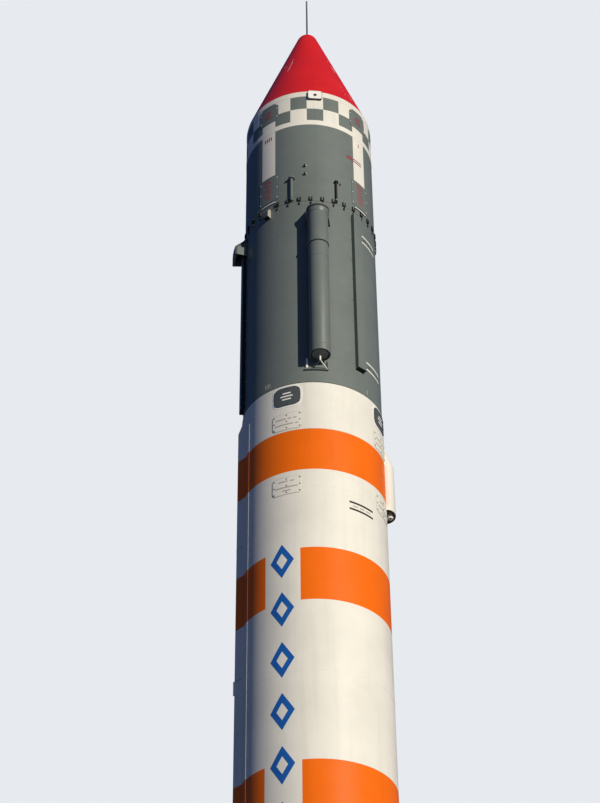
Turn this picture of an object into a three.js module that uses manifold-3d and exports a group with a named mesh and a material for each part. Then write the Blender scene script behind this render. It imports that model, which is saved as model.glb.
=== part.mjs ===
// Two-stage space rocket standing on its launch supports.
// Millimetres, +Z up. The origin is on the rocket's axis, in the plane of the four support pads.
// Azimuth 0 points along -Y (plane IV) and grows towards +X (plane I, azimuth 90).

import * as THREE from 'three';
import { mergeVertices } from 'three/addons/utils/BufferGeometryUtils.js';
import Module from 'manifold-3d';

const wasm = await Module();
wasm.setup();

// Driving dimensions
const STAGE1_RADIUS = 1200;
const STAGE2_RADIUS = 1185;
const TOUCH_GAP = 0.4;
const MOVING_GAP = 6;
const ROUND_SEGMENTS = 72;
const SMALL_SEGMENTS = 20;
const PLANES = [0, 90, 180, 270];

// Levels above the support pads
const PAD_TOP = 120;
const RING_LOW = 30;
const RING_TOP = 220;
const SKIRT_TOP = 2300;
const BULKHEAD_LOW = 2150;
const FUEL_TANK_TOP = 9000;
const INTERTANK_TOP = 10000;
const OXIDISER_TANK_TOP = 21430;
const STAGE_JOINT = 22400;
const STAGE2_TOP = 26500;
const FAIRING_JOINT = 26597;
const SHOULDER_LOW = 29400;
const CONE_LOW = 29480;
const CONE_LOW_RADIUS = 1170;

// Nose: a sphere that the cone meets at a tangent
const TIP_RADIUS = 210;
const TIP_CENTRE = 32130;
const TIP_FLAT = 32335;
const ROD_TOP = 33480;
const ROD_RADIUS = 17.5;

// Tail
const SKIRT_WALL = 50;
const RING_INNER_RADIUS = 1040;
const PAD = { inner: 1030, outer: 1214, width: 260, first: 45 };
const FIN = { low: 250, knee: 430, top: 1500, reach: 1370, thickness: 50 };
const CHAMBER_CENTRE = 620;
const NOZZLE_EXIT = 780;
const ENGINE_BLOCK = { side: 440, low: 1290 };
const ACTUATOR = { inner: 1000, halfAngle: 5, low: 400, top: 640 };
const VANE = { inner: 440, outer: 840, low: 300, top: 640, axis: 520, thickness: 46, shaft: 38 };
const SHAFT_GAP = 2;

// Payload fairing
const FAIRING_WALL = 35;
const FAIRING_RIM = { inner: 1110, top: 26700, slopeTop: 26740 };
const SEAM_AZIMUTH = 45;
const HALF_CENTRE_A = SEAM_AZIMUTH - 90;
const HALF_CENTRE_B = SEAM_AZIMUTH + 90;
const CAP_LOW = 31950;
const CAP_SLOPE_DEGREES = 25;
const HINGE = { radius: 1206, level: 26600, pin: 7, bore: 8.5, knuckle: 14, halfWidth: 24 };
const HINGE_BLOCK = { halfWidth: 50, low: 26515, top: 26580, outer: 1220 };
const EAR = { inner: 28, outer: 50, radius: 14 };
const BOLT_STEP = 10;
const BOLT_COUNT = 36;
const CUP = { halfWidth: 25, outer: 1213, top: 26690 };
const NUT = { halfWidth: 20, outer: 1211, low: 26515, top: 26570 };

const degrees = Math.PI / 180;

// Colours as they show in daylight
const COLOURS = {
  white: [0xe9e4d8, 0.5, 0.0],
  grey: [0x747a78, 0.55, 0.0],
  darkGrey: [0x565b5d, 0.55, 0.0],
  red: [0xc81e28, 0.45, 0.0],
  steel: [0x8d8f90, 0.4, 0.9],
  nozzle: [0x5e5450, 0.5, 0.8],
  graphite: [0x2a2b2d, 0.8, 0.0],
  inside: [0x8f9a80, 0.6, 0.0],
};

const materials = {};
for (const [name, [color, roughness, metalness]] of Object.entries(COLOURS)) {
  materials[name] = new THREE.MeshStandardMaterial({ name, color, roughness, metalness });
}

// Geometry helpers

function bare(geometry) {
  geometry.deleteAttribute('normal');
  geometry.deleteAttribute('uv');
  return mergeVertices(geometry, 1e-3);
}

function toSolid(geometry) {
  const clean = bare(geometry);
  const vertProperties = new Float32Array(clean.attributes.position.array);
  const triVerts = new Uint32Array(clean.index.array);
  const solid = new wasm.Manifold(new wasm.Mesh({ numProp: 3, vertProperties, triVerts }));
  if (solid.volume() > 0) return solid;
  for (let i = 0; i < triVerts.length; i += 3) {
    [triVerts[i], triVerts[i + 1]] = [triVerts[i + 1], triVerts[i]];
  }
  return new wasm.Manifold(new wasm.Mesh({ numProp: 3, vertProperties, triVerts }));
}

function toGeometry(solid) {
  const mesh = solid.getMesh();
  const geometry = new THREE.BufferGeometry();
  geometry.setAttribute('position', new THREE.BufferAttribute(mesh.vertProperties, 3));
  geometry.setIndex(new THREE.BufferAttribute(mesh.triVerts, 1));
  geometry.computeVertexNormals();
  return geometry;
}

function joined(solids) {
  return solids.reduce((whole, piece) => whole.add(piece));
}

// A solid of revolution about Z from [radius, level] points that end on the axis or close
function revolved(profile, segments = ROUND_SEGMENTS) {
  const points = profile.map(([radius, level]) => new THREE.Vector2(radius, level));
  return toSolid(new THREE.LatheGeometry(points, segments).rotateX(Math.PI / 2));
}

function ringOf(profile, segments = ROUND_SEGMENTS) {
  return revolved([...profile, profile[0]], segments);
}

function drum(radius, low, top, segments = ROUND_SEGMENTS) {
  return revolved([[0, low], [radius, low], [radius, top], [0, top]], segments);
}

function prism(points, low, top) {
  const shape = new THREE.Shape(points.map(([x, y]) => new THREE.Vector2(x, y)));
  const geometry = new THREE.ExtrudeGeometry(shape, { depth: top - low, bevelEnabled: false });
  return toSolid(geometry.translate(0, 0, low));
}

function block(xLow, xHigh, yLow, yHigh, zLow, zHigh) {
  return prism([[xLow, yLow], [xHigh, yLow], [xHigh, yHigh], [xLow, yHigh]], zLow, zHigh);
}

function onAzimuth(solid, azimuth) {
  return solid.rotate([0, 0, azimuth]);
}

// A [across, radius, level] box on azimuth 0, turned to its own azimuth
function standing(halfWidth, inner, outer, low, top, azimuth) {
  return onAzimuth(block(-halfWidth, halfWidth, -outer, -inner, low, top), azimuth);
}

// The part of a solid of revolution between two azimuths
function arcPiece(profile, from, to) {
  const reach = 4000;
  const corners = [[0, 0]];
  for (const azimuth of [from, (from + to) / 2, to]) {
    corners.push([reach * Math.sin(azimuth * degrees), -reach * Math.cos(azimuth * degrees)]);
  }
  const levels = profile.map(([, level]) => level);
  const wedge = prism(corners, Math.min(...levels) - 1, Math.max(...levels) + 1);
  return ringOf(profile).intersect(wedge);
}

function arcPlate(inner, outer, low, top, from, to) {
  return arcPiece([[inner, low], [outer, low], [outer, top], [inner, top]], from, to);
}

// A cylinder along X (across azimuth 0) through [y, z]
function crossPin(radius, from, to, y, z, segments = 16) {
  return drum(radius, from, to, segments).rotate([0, 90, 0]).translate([0, y, z]);
}

// A round bar between two points
function bar(start, end, radius) {
  const way = new THREE.Vector3(...end).sub(new THREE.Vector3(...start));
  const lean = Math.acos(way.z / way.length()) / degrees;
  const turn = Math.atan2(way.y, way.x) / degrees;
  return drum(radius, 0, way.length(), 12).rotate([0, lean, turn]).translate(start);
}

function atPoint(radius, azimuth, level) {
  return [radius * Math.sin(azimuth * degrees), -radius * Math.cos(azimuth * degrees), level];
}

// An extrusion stood up, so that its shape is in the Y-Z plane and its depth along X
const UPRIGHT = new THREE.Matrix4().set(
  0, 0, 1, 0,
  1, 0, 0, 0,
  0, 1, 0, 0,
  0, 0, 0, 1,
);

// A plate on azimuth 0 from its [radius, level] corners, with its thickness across
function radialPlate(corners, halfWidth) {
  const outline = new THREE.Shape(corners.map(([radius, level]) => new THREE.Vector2(-radius, level)));
  const plate = new THREE.ExtrudeGeometry(outline, { depth: 2 * halfWidth, bevelEnabled: false });
  plate.translate(0, 0, -halfWidth);
  return toSolid(plate.applyMatrix4(UPRIGHT));
}

const rocket = new THREE.Group();
const fairingA = new THREE.Group();
const fairingB = new THREE.Group();

function add(name, solid, material, group = rocket) {
  const mesh = new THREE.Mesh(toGeometry(solid), materials[material]);
  mesh.name = name;
  group.add(mesh);
  return mesh;
}

// Tail

function supportRing() {
  const ring = ringOf([
    [RING_INNER_RADIUS, RING_LOW],
    [STAGE1_RADIUS - 5, RING_LOW],
    [STAGE1_RADIUS - 5, RING_TOP - TOUCH_GAP],
    [RING_INNER_RADIUS, RING_TOP - TOUCH_GAP],
  ]);
  const pads = PLANES.map((plane) => (
    standing(PAD.width / 2, PAD.inner, PAD.outer, 0, PAD_TOP, plane + PAD.first)
  ));
  return joined([ring, ...pads]);
}

function tailFin(azimuth) {
  const { low, knee, top, reach, thickness } = FIN;
  const root = STAGE1_RADIUS - 20;
  const corners = [[root, low], [reach, low], [reach, knee], [STAGE1_RADIUS, top], [root, top]];
  return onAzimuth(radialPlate(corners, thickness / 2), azimuth);
}

function tailSkirt() {
  const inner = STAGE1_RADIUS - SKIRT_WALL;
  const shell = ringOf([
    [inner, RING_TOP],
    [STAGE1_RADIUS, RING_TOP],
    [STAGE1_RADIUS, SKIRT_TOP - TOUCH_GAP],
    [inner, SKIRT_TOP - TOUCH_GAP],
  ]);
  return joined([shell, ...PLANES.map(tailFin)]);
}

// One chamber on its own axis: outside from the exit up, then inside from the dome down
function thrustChamber() {
  const outside = [
    [352, NOZZLE_EXIT], [375, NOZZLE_EXIT], [318, 1080], [228, 1400], [152, 1600],
    [220, 1740], [220, 2060], [120, BULKHEAD_LOW - TOUCH_GAP], [0, BULKHEAD_LOW - TOUCH_GAP],
  ];
  const inside = [[0, 2090], [190, 2040], [190, 1750], [124, 1600], [202, 1395], [294, 1075]];
  return revolved([...outside, ...inside, outside[0]], SMALL_SEGMENTS);
}

function vaneBlade() {
  const half = VANE.thickness / 2;
  const outline = new THREE.Shape([
    new THREE.Vector2(0, VANE.low),
    new THREE.Vector2(half, VANE.axis - 90),
    new THREE.Vector2(half, VANE.axis + 30),
    new THREE.Vector2(half * 0.4, VANE.top),
    new THREE.Vector2(-half * 0.4, VANE.top),
    new THREE.Vector2(-half, VANE.axis + 30),
    new THREE.Vector2(-half, VANE.axis - 90),
  ]);
  const span = VANE.outer - VANE.inner;
  const blade = new THREE.ExtrudeGeometry(outline, { depth: span, bevelEnabled: false });
  const outwards = new THREE.Matrix4().makeRotationX(Math.PI / 2);
  return toSolid(blade.applyMatrix4(outwards).translate(0, -VANE.inner, 0));
}

function jetVane() {
  const shaftLength = ACTUATOR.inner - SHAFT_GAP - VANE.outer + 20;
  const shaft = drum(VANE.shaft, 0, shaftLength, 16)
    .rotate([90, 0, 0])
    .translate([0, -VANE.outer + 20, VANE.axis]);
  return vaneBlade().add(shaft);
}

function addTail() {
  const inside = STAGE1_RADIUS - SKIRT_WALL - TOUCH_GAP;
  const { side, low } = ENGINE_BLOCK;
  add('tail_support_ring', supportRing(), 'steel');
  add('tail_skirt', tailSkirt(), 'white');
  add('engine_bulkhead', drum(inside, BULKHEAD_LOW, SKIRT_TOP - TOUCH_GAP), 'inside');
  add('engine_block', block(-side / 2, side / 2, -side / 2, side / 2, low, BULKHEAD_LOW - TOUCH_GAP), 'steel');
  PLANES.forEach((plane, index) => {
    const number = index + 1;
    const chamber = onAzimuth(thrustChamber().translate([0, -CHAMBER_CENTRE, 0]), plane);
    add(`thrust_chamber_${number}`, chamber, 'nozzle');
    const { inner, halfAngle } = ACTUATOR;
    const housing = arcPlate(inner, inside, ACTUATOR.low, ACTUATOR.top, -halfAngle, halfAngle);
    add(`vane_actuator_${number}`, onAzimuth(housing, plane), 'steel');
    add(`jet_vane_${number}`, onAzimuth(jetVane(), plane), 'graphite');
  });
}

// Stage 1

// Rows of raised covers and the hatches, at the planes that the raceway leaves free
const HATCH_PLANES = [0, 90, 180];
const COVER_STAND = 8;
const COVERS_B = { centre: 18.1, halfAngle: 12.7, low: 21460, top: 21810 };
const COVERS_C = { centre: 17.9, halfAngle: 12.5, low: 20160, top: 20510 };
const HATCH = { centre: 18.4, halfAngle: 12.8, low: 21930, top: 22385, stand: 12 };

function withCovers(body, { centre, halfAngle, low, top }) {
  const covers = HATCH_PLANES.map((plane) => {
    const middle = plane + centre;
    const inner = STAGE1_RADIUS - 20;
    return arcPlate(inner, STAGE1_RADIUS + COVER_STAND, low, top, middle - halfAngle, middle + halfAngle);
  });
  return joined([body, ...covers]);
}

const RACEWAY_AZIMUTH = -51;
const RACEWAY1 = {
  halfWidth: 430, faceHalf: 300, outer: 1249, root: 1129, low: 900, lowSlope: 120, top: 22265, topSlope: 255,
};

// The long cable raceway with a flat outer face, slanted flanks and sloped ends
function stage1Raceway() {
  const { halfWidth, faceHalf, outer, root, low, lowSlope, top, topSlope } = RACEWAY1;
  const inside = root - 60;
  const section = [
    [-halfWidth, -inside], [-halfWidth, -root], [-faceHalf, -outer],
    [faceHalf, -outer], [halfWidth, -root], [halfWidth, -inside],
  ];
  const corners = [
    [inside, low], [root, low], [outer, low + lowSlope], [outer, top - topSlope], [root, top], [inside, top],
  ];
  const cover = radialPlate(corners, halfWidth).intersect(prism(section, low, top));
  return onAzimuth(cover, RACEWAY_AZIMUTH).subtract(drum(STAGE1_RADIUS + TOUCH_GAP, low - 1, top + 1));
}

const POD = { azimuth: 131, halfWidth: 200, stand: 150, wall: 18, low: 20530, shoulder: 21490, top: 21930 };

function ventPod() {
  const { azimuth, halfWidth, stand, wall, low, shoulder, top } = POD;
  const shell = revolved([
    [halfWidth - wall, low], [halfWidth, low], [halfWidth, shoulder], [wall, top], [0, top],
    [0, top - 3 * wall], [halfWidth - wall, shoulder], [halfWidth - wall, low],
  ], SMALL_SEGMENTS);
  const flattened = shell.scale([1, stand / halfWidth, 1]).translate([0, -STAGE1_RADIUS, 0]);
  const body = drum(STAGE1_RADIUS + TOUCH_GAP, low - 100, top + 100);
  return onAzimuth(flattened, azimuth).subtract(body);
}

const VENT_PIPE = { radius: 50, bore: 40, centre: 1256, low: 20580, depth: 120, top: 21400 };

function ventPipe() {
  const { radius, bore, centre, low, depth, top } = VENT_PIPE;
  const pipe = revolved([
    [0, low + depth], [bore, low + depth], [bore, low], [radius, low], [radius, top], [0, top],
  ], SMALL_SEGMENTS);
  return onAzimuth(pipe.translate([0, -centre, 0]), POD.azimuth);
}

function addStage1() {
  add('stage1_fuel_tank', drum(STAGE1_RADIUS, SKIRT_TOP, FUEL_TANK_TOP - TOUCH_GAP), 'white');
  add('stage1_intertank', drum(STAGE1_RADIUS, FUEL_TANK_TOP, INTERTANK_TOP - TOUCH_GAP), 'white');
  const oxidiserTank = drum(STAGE1_RADIUS, INTERTANK_TOP, OXIDISER_TANK_TOP - TOUCH_GAP);
  add('stage1_oxidiser_tank', withCovers(oxidiserTank, COVERS_C), 'white');
  const interstage = drum(STAGE1_RADIUS, OXIDISER_TANK_TOP, STAGE_JOINT - TOUCH_GAP);
  add('interstage_skirt', withCovers(interstage, COVERS_B), 'white');
  add('stage1_raceway', stage1Raceway(), 'white');
  add('vent_pod', ventPod(), 'white');
  add('vent_pipe', ventPipe(), 'steel');
  HATCH_PLANES.forEach((plane, index) => {
    const { centre, halfAngle, low, top, stand } = HATCH;
    const middle = plane + centre;
    const inner = STAGE1_RADIUS + TOUCH_GAP;
    const outer = STAGE1_RADIUS + stand;
    const plate = arcPlate(inner, outer, low, top, middle - halfAngle, middle + halfAngle);
    add(`access_hatch_${index + 1}`, plate, 'darkGrey');
  });
}

// Stage 2

const ON_STAGE2 = STAGE2_RADIUS + TOUCH_GAP;
const LEFT_RACEWAY = { from: -44.65, to: -36.2, low: 22560, top: 26049, outer: 1256 };
const RIGHT_RACEWAY = { from: 77.3, to: 85.75, low: 22890, top: 26470, outer: 1268 };
const SIDE_TANK = { radius: 178, centre: 1385, low: 22835, top: 26180, azimuth: 44.7, dish: 40 };
const TANK_BAND = { radius: 203, low: 26022, top: 26165 };
const TANK_CLAMP = { radius: 190, low: 25310, top: 25360, halfAngle: 2.5 };
const TANK_HOOD = { halfWidth: 198, front: 1420, frontTop: 26165, back: 1150, backTop: 26352 };
const TANK_SHELF = { low: 26004, top: 26026, nearHalf: 245, farHalf: 195 };
const TANK_RAIL = { from: -11.7, to: 7.3, low: 22665, top: 22700, outer: 1220 };
const TANK_PIN = { radius: 16, low: 22715 };
const TANK_STRUTS = { radius: 11, level: 22685, left: -5.7, right: 6.8 };
const CONNECTOR_BOX = { from: -48.5, to: -34, low: 26060, shoulder: 26240, top: 26480, outer: 1415 };
const CONNECTOR_WALLS = { outer: 45, roof: 18, sideAngle: 0.55 };
const JOINT_BRACKET = {
  from: -2, to: 2.9, low: 26394, waist: 26570, shoulder: 26520, top: 26620, inner: 1195, outer: 1277,
};

// A wedge that carries the tank's upper end on the stage
function tankHood() {
  const { halfWidth, front, frontTop, back, backTop } = TANK_HOOD;
  const { low } = TANK_BAND;
  return radialPlate([[back, low], [front, low], [front, frontTop], [back, backTop]], halfWidth);
}

function sideTank(azimuth) {
  const { radius, centre, low, top, dish } = SIDE_TANK;
  const shell = revolved([
    [0, low + dish], [40, low + dish], [150, low], [radius, low], [radius, top - 50], [radius - 40, top], [0, top],
  ], SMALL_SEGMENTS);
  const band = drum(TANK_BAND.radius, TANK_BAND.low, TANK_BAND.top, SMALL_SEGMENTS);
  const clamp = drum(TANK_CLAMP.radius, TANK_CLAMP.low, TANK_CLAMP.top, SMALL_SEGMENTS);
  const { nearHalf, farHalf } = TANK_SHELF;
  const shelf = prism(
    [[-nearHalf, 60 - STAGE2_RADIUS], [-farHalf, -centre], [farHalf, -centre], [nearHalf, 60 - STAGE2_RADIUS]],
    TANK_SHELF.low,
    TANK_SHELF.top,
  );
  const tank = joined([shell, band, clamp].map((piece) => piece.translate([0, -centre, 0])));
  const foot = arcPlate(
    ON_STAGE2,
    centre - radius + 20,
    TANK_CLAMP.low,
    TANK_CLAMP.top,
    azimuth - TANK_CLAMP.halfAngle,
    azimuth + TANK_CLAMP.halfAngle,
  );
  const whole = joined([tank, shelf, tankHood()]);
  return onAzimuth(whole, azimuth).subtract(drum(ON_STAGE2, low, TANK_HOOD.backTop)).add(foot);
}

function tankBracket(azimuth) {
  const { from, to, low, top, outer } = TANK_RAIL;
  const onRail = (left, right, legTop) => (
    arcPlate(ON_STAGE2, outer, low, legTop, azimuth + left, azimuth + right)
  );
  const pinTop = SIDE_TANK.low + SIDE_TANK.dish - TOUCH_GAP;
  const pin = drum(TANK_PIN.radius, TANK_PIN.low, pinTop, 16).translate(atPoint(SIDE_TANK.centre, azimuth, 0));
  const pinFoot = atPoint(SIDE_TANK.centre, azimuth, TANK_PIN.low + 12);
  const { radius, level, left, right } = TANK_STRUTS;
  const struts = [left, right].map((lean) => (
    bar(pinFoot, atPoint(ON_STAGE2 + 15, azimuth + lean, level), radius)
  ));
  return joined([onRail(from, to, top), onRail(-10.5, -8.9, 22900), onRail(6.5, to, 22860), pin, ...struts]);
}

// A hood over the raceway's upper end, open towards the ground
function connectorBox() {
  const { from, to, low, shoulder, top, outer } = CONNECTOR_BOX;
  const walls = CONNECTOR_WALLS;
  const hood = arcPiece([[ON_STAGE2, low], [outer, low], [outer, shoulder], [ON_STAGE2, top]], from, to);
  const inner = outer - walls.outer;
  const space = arcPiece(
    [
      [ON_STAGE2 - 5, low - 1],
      [inner, low - 1],
      [inner, shoulder - walls.roof],
      [ON_STAGE2 - 5, top - walls.roof - walls.outer],
    ],
    from + walls.sideAngle,
    to - walls.sideAngle,
  );
  return hood.subtract(space);
}

function hingeBlock(azimuth) {
  const { halfWidth, low, top, outer } = HINGE_BLOCK;
  const { radius, level, pin } = HINGE;
  const base = block(-halfWidth, halfWidth, -outer, 20 - STAGE2_RADIUS, low, top);
  const ears = [[-EAR.outer, -EAR.inner], [EAR.inner, EAR.outer]].map(([from, to]) => {
    const eye = crossPin(EAR.radius, from, to, -radius, level, SMALL_SEGMENTS);
    const stem = block(from, to, -radius - EAR.radius, -radius + EAR.radius, top - 10, level);
    return eye.add(stem);
  });
  const shaft = crossPin(pin, -EAR.inner - 5, EAR.inner + 5, -radius, level);
  return onAzimuth(joined([base, ...ears, shaft]), azimuth).subtract(drum(ON_STAGE2, low - 1, level));
}

// Its upper end reaches over the joint, clear of the fairing
function jointBracket() {
  const { from, to, low, waist, shoulder, top, inner, outer } = JOINT_BRACKET;
  const profile = [
    [ON_STAGE2, low], [outer, low], [outer, shoulder], [inner, top], [inner, waist], [ON_STAGE2, waist],
  ];
  return arcPiece(profile, from, to);
}

function boltAzimuths(skipped) {
  const all = Array.from({ length: BOLT_COUNT }, (_, index) => index * BOLT_STEP);
  return all.filter((azimuth) => !skipped.includes(azimuth));
}

function separationRing() {
  const disc = drum(STAGE2_RADIUS, STAGE2_TOP, FAIRING_JOINT);
  const nuts = boltAzimuths([0, 180]).map((azimuth) => (
    standing(NUT.halfWidth, STAGE2_RADIUS - 15, NUT.outer, NUT.low, NUT.top, azimuth)
  ));
  return joined([disc, ...nuts]);
}

function payloadAdapter() {
  const low = FAIRING_JOINT + TOUCH_GAP;
  return revolved([
    [0, low], [1000, low], [1000, low + 40], [520, low + 500], [540, low + 510], [540, low + 560], [0, low + 560],
  ], 36);
}

function addStage2() {
  add('stage2_shell', drum(STAGE2_RADIUS, STAGE_JOINT, STAGE2_TOP - TOUCH_GAP), 'grey');
  for (const [side, { from, to, low, top, outer }] of [['left', LEFT_RACEWAY], ['right', RIGHT_RACEWAY]]) {
    add(`stage2_raceway_${side}`, arcPlate(ON_STAGE2, outer, low, top, from, to), 'grey');
  }
  [0, 180].forEach((turn, index) => {
    const number = index + 1;
    add(`side_tank_${number}`, sideTank(turn + SIDE_TANK.azimuth), 'grey');
    add(`tank_bracket_${number}`, tankBracket(turn + SIDE_TANK.azimuth), 'grey');
    add(`hinge_block_${number}`, hingeBlock(turn + HALF_CENTRE_A), 'grey');
    add(`joint_bracket_${number}`, onAzimuth(jointBracket(), turn), 'grey');
  });
  add('connector_box', connectorBox(), 'grey');
  add('separation_ring', separationRing(), 'grey');
  add('payload_adapter', payloadAdapter(), 'inside');
}

// Payload fairing. Each half is drawn about azimuth 0 and turned to its own centre.

const coneAngle = (() => {
  const rise = TIP_CENTRE - CONE_LOW;
  const distance = Math.hypot(rise, CONE_LOW_RADIUS);
  return Math.atan2(CONE_LOW_RADIUS, rise) - Math.asin(TIP_RADIUS / distance);
})();
const tangentRadius = TIP_RADIUS * Math.cos(coneAngle);
const tangentLevel = TIP_CENTRE + TIP_RADIUS * Math.sin(coneAngle);

function coneRadius(level) {
  return CONE_LOW_RADIUS - (level - CONE_LOW) * Math.tan(coneAngle);
}

function tipSolid() {
  const steps = 4;
  const last = Math.asin((TIP_FLAT - TIP_CENTRE) / TIP_RADIUS);
  const low = CAP_LOW - 20;
  const profile = [[0, low], [coneRadius(low), low], [tangentRadius, tangentLevel]];
  for (let step = 1; step <= steps; step += 1) {
    const angle = coneAngle + (last - coneAngle) * (step / steps);
    profile.push([TIP_RADIUS * Math.cos(angle), TIP_CENTRE + TIP_RADIUS * Math.sin(angle)]);
  }
  profile.push([0, TIP_FLAT]);
  return revolved(profile, 36);
}

// The space above two planes that rise from the seam, so that the halves swing out from under the cap
function aboveSeamPlanes(low) {
  const reach = 800;
  const side = low + reach * Math.tan(CAP_SLOPE_DEGREES * degrees);
  return radialPlate([[0, low], [reach, side], [reach, ROD_TOP], [-reach, ROD_TOP], [-reach, side]], reach);
}

function fairingLeaf() {
  const { radius, level, bore, knuckle, halfWidth } = HINGE;
  const barrel = crossPin(knuckle, -halfWidth, halfWidth, -radius, level, SMALL_SEGMENTS);
  const arm = block(-halfWidth, halfWidth, -radius, 15 - STAGE2_RADIUS, level + knuckle / 2, level + 30);
  const hole = crossPin(bore, -halfWidth - 1, halfWidth + 1, -radius, level);
  return barrel.add(arm).subtract(hole);
}

// Half of the fairing about azimuth 0, with its bolt cups and its hinge leaf
function fairingHalf(centre, capGap) {
  const low = FAIRING_JOINT + MOVING_GAP;
  const cutTop = CAP_LOW + 200;
  const { inner, top, slopeTop } = FAIRING_RIM;
  const wallInner = STAGE2_RADIUS - FAIRING_WALL;
  const shell = ringOf([
    [inner, low], [STAGE2_RADIUS, low], [STAGE2_RADIUS, SHOULDER_LOW],
    [STAGE2_RADIUS - 6, SHOULDER_LOW + 50], [CONE_LOW_RADIUS, CONE_LOW],
    [coneRadius(cutTop), cutTop], [coneRadius(cutTop) - FAIRING_WALL, cutTop],
    [CONE_LOW_RADIUS - FAIRING_WALL, CONE_LOW - 10], [wallInner, SHOULDER_LOW - 20],
    [wallInner, slopeTop], [inner, top],
  ]);
  const cups = boltAzimuths([0, 180]).map((azimuth) => (
    standing(CUP.halfWidth, STAGE2_RADIUS - 10, CUP.outer, low, CUP.top, azimuth - centre)
  ));
  const reach = 2000;
  const otherSide = block(-reach, reach, -MOVING_GAP / 2, reach, low - 1, cutTop + 1);
  return joined([shell, ...cups, fairingLeaf()])
    .subtract(otherSide)
    .subtract(aboveSeamPlanes(CAP_LOW - capGap));
}

function noseCap() {
  return tipSolid().intersect(aboveSeamPlanes(CAP_LOW));
}

function lightningRod() {
  const low = TIP_FLAT + TOUCH_GAP;
  return revolved([
    [0, low], [34, low], [30, low + 35], [ROD_RADIUS, low + 45],
    [ROD_RADIUS, ROD_TOP - 8], [ROD_RADIUS - 8, ROD_TOP], [0, ROD_TOP],
  ], 16);
}

// The lock box stands on its own half and reaches over the seam, clear of the other half
const LOCK_BOX = {
  left: -137, right: 134, low: 29230, top: 29450, inner: 1195, outer: 1228, hole: 26, holeLevel: 29330,
};

function lockBox() {
  const { left, right, low, top, inner, outer, hole, holeLevel } = LOCK_BOX;
  const lid = block(left, right, -outer, -inner, low, top);
  const foot = arcPlate(ON_STAGE2, inner + 5, low, top, -3, -1.2);
  const bore = drum(hole, 0, 200, 16).rotate([90, 0, 0]).translate([0, 22 - outer, holeLevel]);
  return lid.add(foot).subtract(bore);
}

const PUSHERS = [
  // name, azimuth, rod radius, head radius, top, half
  ['pusher_1', 23.6, 28, 62, 27230, fairingA],
  ['pusher_2', 62.5, 18, 40, 27170, fairingB],
  ['pusher_3', 203.6, 28, 62, 27230, fairingB],
  ['pusher_4', 242.5, 18, 40, 27170, fairingA],
];
const PUSHER_LOW = 26620;

function pusher(rodRadius, headRadius, top) {
  const centre = STAGE2_RADIUS + headRadius * 0.6;
  const stick = revolved([
    [0, PUSHER_LOW], [rodRadius, PUSHER_LOW], [rodRadius, top - headRadius * 1.3],
    [headRadius, top - headRadius * 1.2], [headRadius * 0.92, top - headRadius * 0.6],
    [headRadius * 0.5, top], [0, top],
  ], 16).translate([0, -centre, 0]);
  const foot = block(-rodRadius, rodRadius, -centre, 20 - STAGE2_RADIUS, PUSHER_LOW + 10, PUSHER_LOW + 60);
  return stick.add(foot);
}

function addFairing() {
  const body = drum(ON_STAGE2, FAIRING_JOINT, SHOULDER_LOW);
  const halves = [
    // group, letter, centre azimuth, gap under the nose cap
    [fairingA, 'a', HALF_CENTRE_A, TOUCH_GAP + 0.1],
    [fairingB, 'b', HALF_CENTRE_B, MOVING_GAP + 1],
  ];
  for (const [group, letter, centre, capGap] of halves) {
    group.rotation.z = centre * degrees;
    add(`fairing_shell_${letter}`, fairingHalf(centre, capGap), 'grey', group);
    rocket.add(group);
  }
  add('nose_cap', noseCap(), 'red', fairingA);
  add('lightning_rod', lightningRod(), 'steel', fairingA);
  add('lock_box_1', onAzimuth(lockBox(), SEAM_AZIMUTH - HALF_CENTRE_A), 'white', fairingA);
  add('lock_box_2', onAzimuth(lockBox(), SEAM_AZIMUTH + 180 - HALF_CENTRE_B), 'white', fairingB);
  for (const [name, azimuth, rodRadius, headRadius, top, half] of PUSHERS) {
    const centre = half === fairingA ? HALF_CENTRE_A : HALF_CENTRE_B;
    const piece = onAzimuth(pusher(rodRadius, headRadius, top), azimuth).subtract(body);
    add(name, onAzimuth(piece, -centre), 'grey', half);
  }
}

addTail();
addStage1();
addStage2();
addFairing();

export default rocket;
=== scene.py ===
"""Looks for a two-stage space rocket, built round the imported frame. Metres, +Z up.

Azimuth is in degrees from -Y (plane IV) towards +X (plane I). Levels are heights above the support pads.
"""
import math

import bmesh
import bpy
from mathutils import Matrix, Vector


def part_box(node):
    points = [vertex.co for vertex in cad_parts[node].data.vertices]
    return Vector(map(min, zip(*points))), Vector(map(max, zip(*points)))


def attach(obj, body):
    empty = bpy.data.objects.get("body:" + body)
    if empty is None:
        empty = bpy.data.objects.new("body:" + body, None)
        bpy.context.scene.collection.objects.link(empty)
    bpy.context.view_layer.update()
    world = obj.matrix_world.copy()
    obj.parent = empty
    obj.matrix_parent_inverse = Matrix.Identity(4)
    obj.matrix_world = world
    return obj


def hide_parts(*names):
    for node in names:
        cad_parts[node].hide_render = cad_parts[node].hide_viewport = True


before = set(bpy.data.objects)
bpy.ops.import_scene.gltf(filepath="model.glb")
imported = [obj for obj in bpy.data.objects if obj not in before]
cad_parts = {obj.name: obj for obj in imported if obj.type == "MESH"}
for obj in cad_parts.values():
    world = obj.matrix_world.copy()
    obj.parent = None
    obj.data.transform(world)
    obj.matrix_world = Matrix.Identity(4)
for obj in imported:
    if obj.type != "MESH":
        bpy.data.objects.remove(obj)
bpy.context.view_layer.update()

# Driving dimensions
STAGE1_RADIUS = 1.200
STAGE2_RADIUS = 1.185
PLANES = (0, 90, 180, 270)
HATCH_PLANES = (0, 90, 180)
RACEWAY_AZIMUTH = -51
PLANE_NUMBERS = ((4, 0), (1, 90), (2, 180), (3, 270))
STEP = 1.5
CORNER_STEPS = 5
ROUND_SIDES = 12
SHARP_ANGLE = 32
EDGE = 0.004
LEAST_BEVEL = 0.0005
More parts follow.
